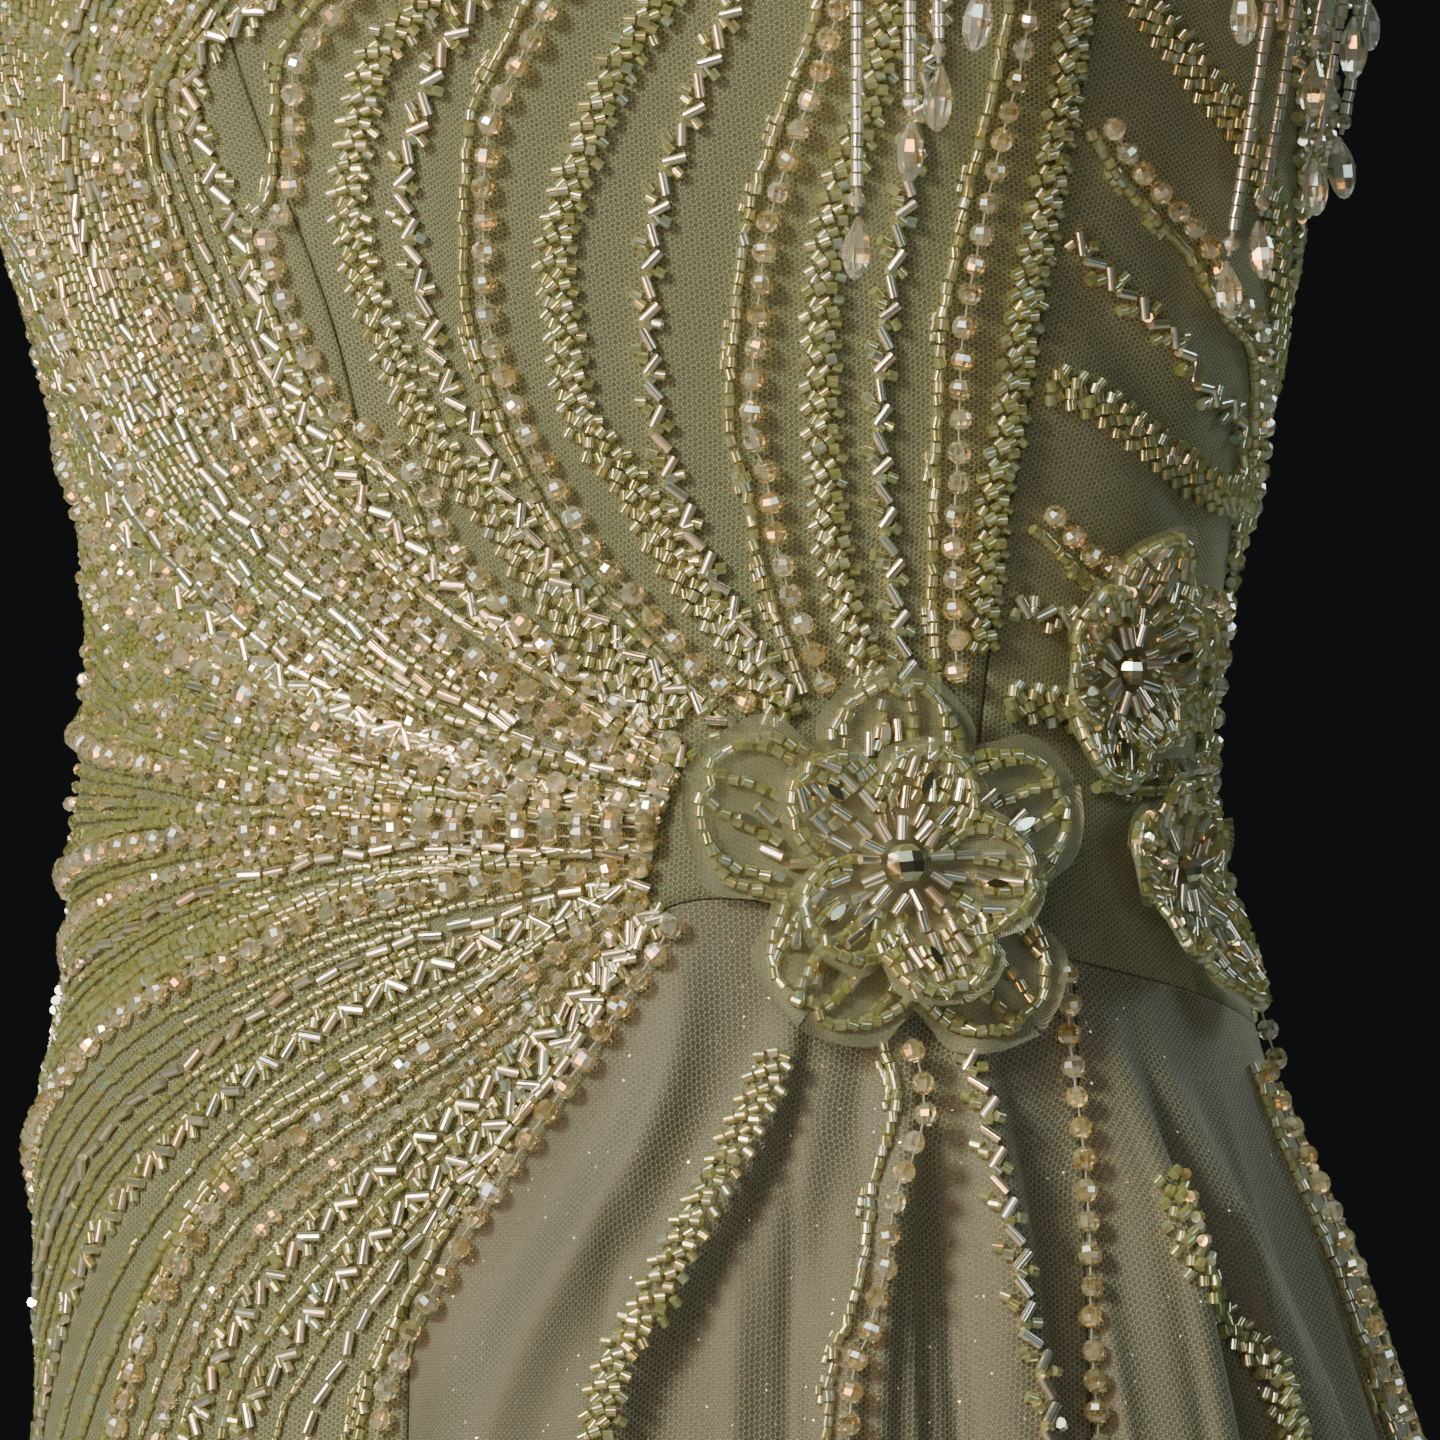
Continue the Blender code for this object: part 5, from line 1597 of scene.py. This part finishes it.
# ---------- fringe
STRAND_WIDTH = 0.0022
DROP_LENGTH = 0.0120
FRINGE_CLEARANCE = 0.0008
FRINGE_STRIP_DEPTH = 0.0020
FRINGE_TOP_Z = -0.2260
SIDE_STRAND_CLEARANCE = 0.0022
DROP_WIDTH = 0.0055
STRAND_ROOT = 0.002      # how far a strand starts above the strip's foot
STRAND_EASE = 0.012      # height in which it swings out to hang free
STRAND_POINTS = 40
STRAND_SAMPLES = 60
STRAND_PITCH = 1.10      # in seed beads
STRAND_BARE = 0.0045     # bare thread above the drop
STRAND_CRYSTAL = 0.0028  # from the crystal's middle to the drop's neck
SIDE_ROOT_HEIGHT = 0.0026
FRONT_STRIP_X = (0.0245, 0.0760)
SIDE_STRIP_ANGLES = (59.0, 90.0)
STRIP_LEVELS = (0.0008, 0.0030, 0.0050)
STRIP_SECOND_LAYER = 0.0016
FRONT_STRANDS = (
    # x at the strip, height of the lowest point
    (0.0260, -0.2620),
    (0.0330, -0.2750),
    (0.0402, -0.3330),
    (0.0496, -0.3155),
    (0.0546, -0.3060),
    (0.0614, -0.2915),
    (0.0680, -0.2760),
    (0.0745, -0.2640),
)
SIDE_STRANDS = (
    # angle  height of the lowest point
    (60.0, -0.2860),
    (63.5, -0.3370),
    (67.0, -0.3290),
    (71.0, -0.2980),
    (75.0, -0.3160),
    (79.0, -0.2890),
    (84.0, -0.3110),
    (89.0, -0.2820),
)


def strand_lines():
    """For each fringe its strands' lines down to the drops' necks."""
    strands = {"fringe_front": [], "fringe_side": []}
    for x, end_z in FRONT_STRANDS:
        angle = float(front_angle(np.array(x), np.array(FRINGE_TOP_Z)))
        out = outward(angle, FRINGE_TOP_Z)
        out[2] = 0.0
        out /= np.linalg.norm(out)
        top = surface(angle, FRINGE_TOP_Z) + out * (2 * FRINGE_CLEARANCE + FRINGE_STRIP_DEPTH)
        bust = surface(front_angle(np.array(x), np.array(BUST_Z)), BUST_Z)[1]
        bust = bust - FRINGE_CLEARANCE - STRAND_WIDTH
        plumb = min(top[1], float(bust))
        z = np.linspace(FRINGE_TOP_Z + STRAND_ROOT, end_z + DROP_LENGTH, STRAND_POINTS)
        ease = smooth_step((FRINGE_TOP_Z - z) / STRAND_EASE)
        y = top[1] + (plumb - top[1]) * ease
        line = np.stack([np.full(STRAND_POINTS, top[0]), y, z], axis=1)
        strands["fringe_front"].append(LooseRow(line, np.array([0.0, -1.0, 0.0])))
    for angle, end_z in SIDE_STRANDS:
        z = np.linspace(FRINGE_TOP_Z + STRAND_ROOT, end_z + DROP_LENGTH, STRAND_POINTS)
        stand_off = SIDE_STRAND_CLEARANCE + DROP_WIDTH * 0.5
        ease = smooth_step((FRINGE_TOP_Z + STRAND_ROOT - z) / STRAND_EASE)
        height = (SIDE_ROOT_HEIGHT + (stand_off - SIDE_ROOT_HEIGHT) * ease)[:, None]
        angles = np.full(STRAND_POINTS, angle)
        out = outward(angles, z)
        line = surface(angles, z) + out * height
        strands["fringe_side"].append(LooseRow(line, out))
    return strands


# ---------- straps
STRAP_WIDTH = 0.026
STRAP_TURN = 0.35
STRAP_COLUMNS = 8
STRAP_SAMPLES = 90
STRAP_CROWN = 0.0009     # how far its middle stands over its edges
STRAP_ROW_LIFT = 0.0001
STRAP_ROWS = (
    # aside, stitch
    (-0.0095, "beads"), (-0.0048, "seeds"), (0.0, "rope"), (0.0048, "seeds"), (0.0095, "beads"),
)
SHOULDER_Z = -0.02       # above it a strap faces up
STRAP_FRONT_ANGLE = 48.0
STRAP_BACK_ANGLE = 145.0
STRAP_ROUTE = (
    # x      y        z
    (0.0860, -0.0850, -0.1150),
    (0.0810, -0.0700, -0.0560),
    (0.0770, -0.0340, -0.0090),
    (0.0740, 0.0080, 0.0000),
    (0.0720, 0.0480, -0.0240),
    (0.0700, 0.0730, -0.0820),
    (0.0680, 0.0820, -0.1400),
)


def strap_frame(side, samples):
    """Middle line of a strap's outer face, its level direction and its out direction."""
    ends, tangents = [], []
    for angle in (STRAP_FRONT_ANGLE, STRAP_BACK_ANGLE):
        z = float(top_edge(angle)) + 0.0003
        ends.append(surface(angle, z))
        tangent = surface(angle + 1.0, z) - surface(angle - 1.0, z)
        tangents.append(tangent / np.linalg.norm(tangent))
    tangents[1] = -tangents[1]
    route = np.array([ends[0], *STRAP_ROUTE, ends[1]])
    knots = np.vstack([route[0], route, route[-1]])
    middles, levels, outs = [], [], []

    def place(share):
        position = min(max(share, 0.0), 1.0) * (len(route) - 1)
        i = min(int(position), len(route) - 2)
        t = position - i
        a, b, c, d = knots[i:i + 4]
        return 0.5 * (2 * b + (c - a) * t + (2 * a - 5 * b + 4 * c - d) * t * t
                      + (3 * b - a - 3 * c + d) * t ** 3)

    for share in np.linspace(0.0, 1.0, samples):
        ahead = place(share + 0.01) - place(share - 0.01)
        ahead[0] = 0.0
        nearest = 0 if share < 0.5 else 1
        turn = smooth_step(min(share, 1.0 - share) / STRAP_TURN)
        level = tangents[nearest] * (1.0 - turn) + np.array([1.0, 0.0, 0.0]) * turn
        level /= np.linalg.norm(level)
        out = np.cross(level, ahead)
        out /= np.linalg.norm(out)
        mirror = np.array([side, 1.0, 1.0])
        middles.append(place(share) * mirror)
        levels.append(level * mirror)
        outs.append(out * mirror)
    return np.array(middles), np.array(levels), np.array(outs)


def strap_cloth(name, middles, levels, outs):
    """A strap as a slightly crowned sheet, its faces up on the shoulder."""
    across = np.linspace(-0.5, 0.5, STRAP_COLUMNS + 1)
    crown = STRAP_CROWN * (1.0 - (2 * across) ** 2) - STRAP_CROWN
    places = (middles[:, None, :] + levels[:, None, :] * (across * STRAP_WIDTH)[None, :, None]
              + outs[:, None, :] * crown[None, :, None])
    uv = np.stack(np.broadcast_arrays((across * STRAP_WIDTH)[None, :], travelled(middles)[:, None]), axis=-1)
    quads = grid_quads(len(middles), STRAP_COLUMNS + 1)
    made = woven_sheet(name, places, quads, uv, finish_of("net_on_bodice"))
    up = Vector((0.0, 0.0, 1.0))
    shoulder = [face for face in made.data.polygons if face.center.z > SHOULDER_Z]
    if sum(face.area * face.normal.dot(up) for face in shoulder) < 0.0:
        turn_outward(made, -np.mean([np.array(face.normal) for face in shoulder], axis=0))
    return made


# ---------- sizes and colours a user may change
class ClothSizes(bpy.types.PropertyGroup):
    """Sizes of the cloth pieces."""
    thickness: FloatProperty(
        name="Thickness", description="Tulle and ground cloth together",
        default=0.0008, min=0.0002, max=0.003, unit="LENGTH")
    tuck_depth: FloatProperty(
        name="Seam depth", description="How far an edge turns in at a seam",
        default=0.0006, min=0.0, max=0.002, unit="LENGTH")
    tuck_width: FloatProperty(
        name="Seam width", description="Width of the turned edge",
        default=0.0010, min=0.0003, max=0.004, unit="LENGTH")


class BeadSizes(bpy.types.PropertyGroup):
    """Sizes of the beads."""
    seed: FloatProperty(
        name="Seed bead", description="Length and width of a seed bead",
        default=0.0022, min=0.001, max=0.004, unit="LENGTH")
    bugle_length: FloatProperty(
        name="Bugle length", description="Length of a bugle bead",
        default=0.0044, min=0.002, max=0.01, unit="LENGTH")
    bugle_width: FloatProperty(
        name="Bugle width", description="Width of a bugle bead",
        default=0.0020, min=0.0008, max=0.004, unit="LENGTH")
    crystal: FloatProperty(
        name="Crystal", description="Width of a faceted round bead",
        default=0.0045, min=0.002, max=0.008, unit="LENGTH")


COLOUR = {"size": 3, "min": 0.0, "max": 1.0, "subtype": "COLOR"}


class GownColours(bpy.types.PropertyGroup):
    """Colours of the gown's cloth."""
    net_thread: FloatVectorProperty(
        name="Bodice net", description="Threads of the net on the bodice",
        default=(0.53, 0.555, 0.315), **COLOUR)
    net_ground: FloatVectorProperty(
        name="Bodice ground", description="Cloth below the net on the bodice",
        default=(0.130, 0.140, 0.068), **COLOUR)
    # painted shade: this colour also draws the second net below, darker than the net above, besides the
    # darker clouds
    net_shade: FloatVectorProperty(
        name="Bodice shade", description="Darker clouds in the bodice's net",
        default=(0.30, 0.32, 0.17), **COLOUR)
    skirt_thread: FloatVectorProperty(
        name="Skirt net", description="Threads of the skirt's tulle",
        default=(0.52, 0.525, 0.345), **COLOUR)
    skirt_ground: FloatVectorProperty(
        name="Skirt ground", description="Cloth below the skirt's tulle",
        default=(0.092, 0.090, 0.054), **COLOUR)
    # painted shade: this colour also draws the skirt's second net below, darker than the net above, besides
    # the darker clouds
    skirt_shade: FloatVectorProperty(
        name="Skirt shade", description="Darker clouds in the skirt's tulle",
        default=(0.205, 0.202, 0.128), **COLOUR)
    petal: FloatVectorProperty(
        name="Petals", description="Organza of the flowers",
        default=(0.56, 0.57, 0.32), **COLOUR)


class StageSettings(bpy.types.PropertyGroup):
    """Strength of the studio's lights."""
    key: FloatProperty(
        name="Key", description="Soft light from the front, left and above",
        default=33.0, min=0.0, max=2000.0, unit="POWER")
    glint: FloatProperty(
        name="Glint", description="Each small warm light that sparkles in the beads",
        default=20.0, min=0.0, max=500.0, unit="POWER")
    box: FloatProperty(
        name="Soft box", description="Broad light that shows only as reflections in glass",
        default=36.0, min=0.0, max=500.0, unit="POWER")
    fill: FloatProperty(
        name="Fill", description="Soft light from the right",
        default=2.0, min=0.0, max=2000.0, unit="POWER")
    back: FloatProperty(
        name="Back", description="Soft lights behind the gown",
        default=24.0, min=0.0, max=2000.0, unit="POWER")


# ---------- operators
class StageOperator(bpy.types.Operator):
    """Floor, camera and soft studio light"""
    bl_idname = "gown.stage"
    bl_label = "Stage"

    def execute(self, context):
        settings = context.scene.gown_stage
        nothing_selected()
        place = (0.0, 0.0, HEM_Z - FLOOR_GAP)
        bpy.ops.mesh.primitive_circle_add(vertices=96, radius=FLOOR_RADIUS, fill_type="NGON", location=place)
        floor = context.object
        floor.name = "studio_floor"
        bpy.ops.object.transform_apply(location=True, rotation=True, scale=True)
        floor.data.materials.append(finish_of("pale_floor"))
        bpy.ops.object.camera_add(
            location=(VIEW_X, -VIEW_DISTANCE, VIEW_Z), rotation=(math.radians(90.0), 0.0, 0.0))
        camera = context.object
        camera.name = "gown_camera"
        camera.data.sensor_width = SENSOR
        camera.data.lens = SENSOR * VIEW_DISTANCE / VIEW_WIDTH
        camera.data.clip_start = 0.05
        camera.data.clip_end = 30.0
        context.scene.camera = camera
        # The last column says which lights show only as reflections in glass and sheen.
        lights = (
            # name        place                 size  power           colour            mirrored
            ("key", (-1.34, -1.58, 0.62), 0.45, settings.key, (0.92, 1.0, 0.86), False),
            ("fill", (1.5, -1.5, -0.1), 1.2, settings.fill, (0.90, 0.98, 0.96), False),
            ("back_left", (-1.4, 1.7, 0.5), 1.9, settings.back, (1.0, 0.98, 0.92), False),
            ("back_right", (1.3, 1.9, 0.6), 1.2, settings.back, (0.96, 0.98, 1.0), False),
            ("rim_right", (1.5, 0.7, 0.3), 0.5, settings.back * 0.25, (0.80, 0.92, 1.0), False),
            ("box_top", (-0.70, -1.45, 0.80), 1.3, settings.box, (0.92, 0.98, 0.90), True),
            ("box_left", (-1.55, -1.40, -0.30), 0.8, settings.box * 0.35, (0.92, 0.98, 0.90), True),
            ("box_right", (1.40, -1.30, 0.10), 0.7, settings.box * 0.16, (0.66, 0.95, 1.0), True),
            ("glint_left", (-0.95, -1.30, -0.20), 0.50, settings.glint, (1.0, 0.34, 0.05), True),
            ("glint_top", (-0.25, -1.60, 0.30), 0.50, settings.glint, (1.0, 0.36, 0.06), True),
            ("glint_low", (-1.10, -1.20, -0.80), 0.50, settings.glint, (1.0, 0.33, 0.05), True),
            ("spark_left", (-0.93, -1.27, -0.20), 0.20, settings.glint * 0.6, (1.0, 0.80, 0.62), True),
            ("spark_top", (-0.25, -1.56, 0.29), 0.20, settings.glint * 0.6, (1.0, 0.80, 0.62), True),
            ("spark_low", (-1.08, -1.17, -0.79), 0.20, settings.glint * 0.6, (1.0, 0.78, 0.60), True),
        )
        aim = Vector((0.0, 0.0, VIEW_Z - 0.05))
        for name, place, size, power, colour, mirrored in lights:
            nothing_selected()
            turn = (Vector(place) - aim).to_track_quat("Z", "Y").to_euler()
            bpy.ops.object.light_add(type="AREA", radius=size, location=place, rotation=turn)
            lamp = context.object
            lamp.name = name
            lamp.data.shape = "DISK"
            lamp.data.size = size
            lamp.data.energy = power
            lamp.data.color = colour
            lamp.visible_diffuse = not mirrored
            lamp.visible_glossy = not name.startswith("back")
        world = context.scene.world or bpy.data.worlds.new("studio")
        context.scene.world = world
        world.use_nodes = True
        surround = world.node_tree.nodes["Background"]
        surround.inputs["Color"].default_value = (0.55, 0.60, 0.62, 1.0)
        surround.inputs["Strength"].default_value = 0.012
        return {"FINISHED"}


WHOLE_TURN = 360.0


class BodiceClothOperator(bpy.types.Operator):
    """Bodice panels that end at the hip seam"""
    bl_idname = "gown.bodice_cloth"
    bl_label = "Bodice cloth"

    def execute(self, context):
        panels = (
            # solid           left edge     right edge            top       columns rows crowding
            ("front_centre", princess_right, princess_left, top_edge, 64, 96, 1.0),
            ("front_side_left", princess_left, fixed(SIDE_SEAM), top_edge, 40, 92, 1.0),
            ("back_side_left", fixed(SIDE_SEAM), fixed(SIDE_BACK_SEAM), top_edge, 26, 60, 1.0),
        )
        lay_panels(panels, hip_seam, "net_on_bodice")
        return {"FINISHED"}


class LongPanelsOperator(bpy.types.Operator):
    """Panels cut in one from the top edge to the hem"""
    bl_idname = "gown.long_panels"
    bl_label = "Long panels"

    def execute(self, context):
        side, side_back = fixed(WHOLE_TURN - SIDE_SEAM), fixed(WHOLE_TURN - SIDE_BACK_SEAM)
        centre = fixed(CENTRE_BACK)
        panels = (
            ("front_side_right", fixed(-SIDE_SEAM), princess_right, top_edge, 44, 150, 1.35),
            ("back_side_right", side_back, side, top_edge, 26, 110, 1.3),
            ("back_right", centre, side_back, top_edge, 22, 110, 1.3),
            ("back_left", fixed(SIDE_BACK_SEAM), centre, top_edge, 24, 110, 1.3),
        )
        lay_panels(panels, hem, "net_on_bodice")
        return {"FINISHED"}


class SkirtClothOperator(bpy.types.Operator):
    """Gathered skirt panels"""
    bl_idname = "gown.skirt_cloth"
    bl_label = "Skirt cloth"

    def execute(self, context):
        panels = (
            ("skirt_front", princess_right, skirt_seam, hip_seam, 132, 120, 1.7),
            ("skirt_left", skirt_seam, fixed(SIDE_BACK_SEAM), hip_seam, 190, 110, 1.7),
        )
        lay_panels(panels, hem, "net_on_skirt")
        return {"FINISHED"}


class FrontRowsOperator(bpy.types.Operator):
    """Beaded rows of the centre front"""
    bl_idname = "gown.front_rows"
    bl_label = "Front rows"

    def execute(self, context):
        box = Workbox(1)
        for stitch, pixels in FRONT_ROWS:
            box.sew(stitch, seen_row(pixels))
        box.finish("front_rows")
        return {"FINISHED"}


class FanOperator(bpy.types.Operator):
    """Rows that fan out of the large flower over the wearer's right side"""
    bl_idname = "gown.fan_rows"
    bl_label = "Fan rows"

    def execute(self, context):
        hidden = Workbox(3, far=True)
        rows = [seen_row(pixels, after=beyond) for _, pixels, beyond in FAN_ROWS]
        for part, start, stop in (("upper", 0, FAN_MIDDLE), ("lower", FAN_MIDDLE, len(rows) - 1)):
            seen = Workbox(2 + start)
            for number in range(start, stop + (part == "lower")):
                stitch, row = FAN_ROWS[number][0], rows[number]
                cut = seen_length(row)
                seen.sew(stitch, row.part(0.0, cut))
                if row.length - cut > 0.01:
                    hidden.sew(stitch, row.part(cut, row.length))
            for number in range(start, stop):
                fill_band(seen, hidden, rows[number], rows[number + 1], number)
            seen.finish("fan_rows_" + part)
        hidden.finish("fan_rows_beyond")
        return {"FINISHED"}


SEEN_ANGLE = 98.0
SEEN_LOW = -0.62
SEEN_HIGH = -0.22
SHORTEST_LINE = 0.008
START_DRIFT = 0.004
FADE = (0.35, 0.95)      # share of the hidden stretch that a line goes on for


def seen_length(row):
    """How far a row runs before it passes to the hidden side, or far below or above the frame."""
    beyond = (np.abs(row.angle) > SEEN_ANGLE) | (row.z < SEEN_LOW) | (row.z > SEEN_HIGH)
    return float(row.travel[np.argmax(beyond)]) if beyond.any() else row.length


def fill_band(seen, hidden, first, second, number):
    """Lines of beads between two rows, each starting where there is room for it."""
    ranks, spacing, middle = FAN_BANDS[number]
    for rank in range(1, ranks + 1):
        parts = 2 ** rank
        for odd in range(1, parts, 2):
            line = row_between(first, second, odd / parts)
            gap = band_width(first, second, line.travel / line.length)
            room = gap / parts >= spacing
            if not room.any():
                continue
            cut = seen_length(line)
            start = float(line.travel[np.argmax(room)])
            still = room | (line.travel < start)
            end = float(line.travel[np.argmin(still)]) if not still.all() else line.length
            stop = min(cut, end)
            start += seen.dice.uniform(0.0, START_DRIFT)
            if stop - start > SHORTEST_LINE:
                stitch = middle if rank == 1 else "mixed" if number < MIXED_BANDS else "plain_seeds"
                seen.sew(stitch, line.part(start, stop))
            if end > cut + SHORTEST_LINE and rank <= HIDDEN_RANKS:
                reach = cut + (end - cut) * seen.dice.uniform(*FADE) / rank
                hidden.seeds(line.part(cut, reach))


def band_width(first, second, s):
    """Distance between two rows at shares s of their lengths."""
    ends = [place_at(row, row.places, s * row.length) for row in (first, second)]
    return np.linalg.norm(ends[0] - ends[1], axis=1)


class SideRowsOperator(bpy.types.Operator):
    """Beaded rows of the left side panel"""
    bl_idname = "gown.side_rows"
    bl_label = "Side rows"

    def execute(self, context):
        box = Workbox(4)
        for stitch, pixels, beyond in SIDE_ROWS:
            box.sew(stitch, seen_row(pixels, after=beyond))
        box.finish("side_rows")
        return {"FINISHED"}


class SkirtRowsOperator(bpy.types.Operator):
    """Beaded rows that run down the skirt's folds"""
    bl_idname = "gown.skirt_rows"
    bl_label = "Skirt rows"

    def execute(self, context):
        box = Workbox(5)
        for stitch, pixels, beyond in SKIRT_ROWS:
            box.sew(stitch, seen_row(pixels, after=beyond))
        box.finish("skirt_rows")
        hidden = Workbox(6, far=True)
        for stitch, places in HIDDEN_SKIRT_ROWS:
            hidden.sew(stitch, row_through(places))
        hidden.finish("skirt_rows_beyond")
        return {"FINISHED"}


class BackRowsOperator(bpy.types.Operator):
    """Beaded rows over the left half of the back"""
    bl_idname = "gown.back_rows"
    bl_label = "Back rows"

    def execute(self, context):
        box = Workbox(7, far=True)
        for stitch, places in BACK_LEFT_ROWS:
            box.sew(stitch, row_through(places))
        box.finish("back_rows")
        return {"FINISHED"}


class FlowersOperator(bpy.types.Operator):
    """Organza flowers with beaded petals"""
    bl_idname = "gown.flowers"
    bl_label = "Flowers"

    def execute(self, context):
        hearts = {name: (lift, width) for name, lift, width in FLOWER_HEARTS}
        for number, layer in enumerate(FLOWER_LAYERS):
            name = layer[0]
            box = Workbox(20 + number)
            stones = Beads(300 + number)
            middles = Beads(320 + number)
            petals = [Petal(layer, petal, box.dice) for petal in layer[5]]
            cloth = petal_sheet(name + "_petals", petals, finish_of("organza_petal"))
            for petal in petals:
                bead_petal(petal, box, stones)
            if name in hearts:
                heart_beads(layer, *hearts[name], box, middles)
            groups = [(kind, box.beads[kind], glass) for kind, glass in (
                ("seed", "seed_glass"), ("bugle", "bugle_glass"))]
            groups += [("navette", stones, "foiled_stone"), ("crystal", middles, "foiled_stone")]
            beads = joined_beads(name + "_beads", groups)
            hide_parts(name)
            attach(cloth, "root")
        return {"FINISHED"}


class FringeOperator(bpy.types.Operator):
    """Bead strands with drops over the left cup and along the left side"""
    bl_idname = "gown.fringe"
    bl_label = "Fringe"

    def execute(self, context):
        for number, (name, strands) in enumerate(strand_lines().items()):
            tubes = Beads(400 + number)
            small = Beads(410 + number)
            drops = Beads(420 + number)
            box = Workbox(30 + number)
            pitch = box.sizes.seed * STRAND_PITCH
            for line in strands:
                at = np.arange(pitch / 2, line.length - STRAND_BARE, pitch)
                places, ahead, out = line.at(at)
                tubes.add(places, ahead, out, 0.05)
                places, ahead, out = line.at(np.array([line.length - STRAND_CRYSTAL]))
                small.add(places, ahead, out, 0.1, spin=np.pi)
                box.beads["thread"].add(places, ahead, out, 0.05, 2.0)
                places, ahead, out = line.at(np.array([line.length]))
                middle = places - np.array([[0.0, 0.0, DROP_LENGTH * 0.5]])
                drops.add(middle, np.array([[0.0, 0.0, 1.0]]), out, 0.08, spin=np.pi)
            ends = SIDE_STRIP_ANGLES
            if name == "fringe_front":
                ends = [float(front_angle(np.array(x), np.array(FRINGE_TOP_Z))) for x in FRONT_STRIP_X]
            for level in STRIP_LEVELS:
                angle = np.linspace(*ends, STRAND_SAMPLES)
                z = np.full(STRAND_SAMPLES, FRINGE_TOP_Z + level)
                out = outward(angle, z)
                strip = LooseRow(surface(angle, z) + out * (2 * FRINGE_CLEARANCE), out)
                box.seeds(strip)
                box.seeds(LooseRow(strip.places + out * STRIP_SECOND_LAYER, out), pitch=pitch)
            groups = [("strand_seed", tubes, "strand_glass"), ("small_crystal", small, "clear_drop"),
                      ("drop", drops, "clear_drop"), ("seed", box.beads["seed"], "seed_glass"),
                      ("thread", box.beads["thread"], "thread")]
            made = joined_beads(name + "_strands", groups)
            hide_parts(name)
        return {"FINISHED"}


class StrapsOperator(bpy.types.Operator):
    """Shoulder straps with beaded rows"""
    bl_idname = "gown.straps"
    bl_label = "Straps"

    def execute(self, context):
        for number, (name, side) in enumerate((("strap_left", 1.0), ("strap_right", -1.0))):
            middles, levels, outs = strap_frame(side, STRAP_SAMPLES)
            cloth = strap_cloth(name + "_cloth", middles, levels, outs)
            thickened(cloth, context.scene.gown_cloth.thickness)
            box = Workbox(40 + number, far=True)
            for shift, stitch in STRAP_ROWS:
                box.sew(stitch, LooseRow(middles + levels * shift + outs * STRAP_ROW_LIFT, outs))
            beads = box.finish(name + "_rows")
            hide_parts(name)
            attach(cloth, "root")
        return {"FINISHED"}


class GownPanel(bpy.types.Panel):
    """Lists the steps that make the gown, and its sizes and colours"""
    bl_idname = "VIEW3D_PT_gown"
    bl_label = "Evening gown"
    bl_space_type = "VIEW_3D"
    bl_region_type = "UI"
    bl_category = "Gown"

    def draw(self, context):
        steps = self.layout.column(align=True)
        for step in STEPS:
            steps.operator(f"gown.{step}")
        for group in ("gown_cloth", "gown_beads", "gown_colours", "gown_stage"):
            settings = getattr(context.scene, group)
            box = self.layout.box()
            for key in settings.bl_rna.properties.keys():
                if key not in ("rna_type", "name"):
                    box.prop(settings, key)


CLASSES = (
    ClothSizes, BeadSizes, GownColours, StageSettings,
    StageOperator, BodiceClothOperator, LongPanelsOperator, SkirtClothOperator,
    FrontRowsOperator, FanOperator, SideRowsOperator, SkirtRowsOperator, BackRowsOperator,
    FlowersOperator, FringeOperator, StrapsOperator, GownPanel,
)
STEPS = (
    "stage", "bodice_cloth", "long_panels", "skirt_cloth",
    "front_rows", "fan_rows", "side_rows", "skirt_rows", "back_rows",
    "flowers", "fringe", "straps",
)


def register():
    for item in CLASSES:
        bpy.utils.register_class(item)
    bpy.types.Scene.gown_cloth = PointerProperty(type=ClothSizes)
    bpy.types.Scene.gown_beads = PointerProperty(type=BeadSizes)
    bpy.types.Scene.gown_colours = PointerProperty(type=GownColours)
    bpy.types.Scene.gown_stage = PointerProperty(type=StageSettings)


def unregister():
    for name in ("gown_stage", "gown_colours", "gown_beads", "gown_cloth"):
        delattr(bpy.types.Scene, name)
    for item in reversed(CLASSES):
        bpy.utils.unregister_class(item)


def main():
    register()
    for step in STEPS:
        getattr(bpy.ops.gown, step)()


if __name__ == "__main__":
    main()
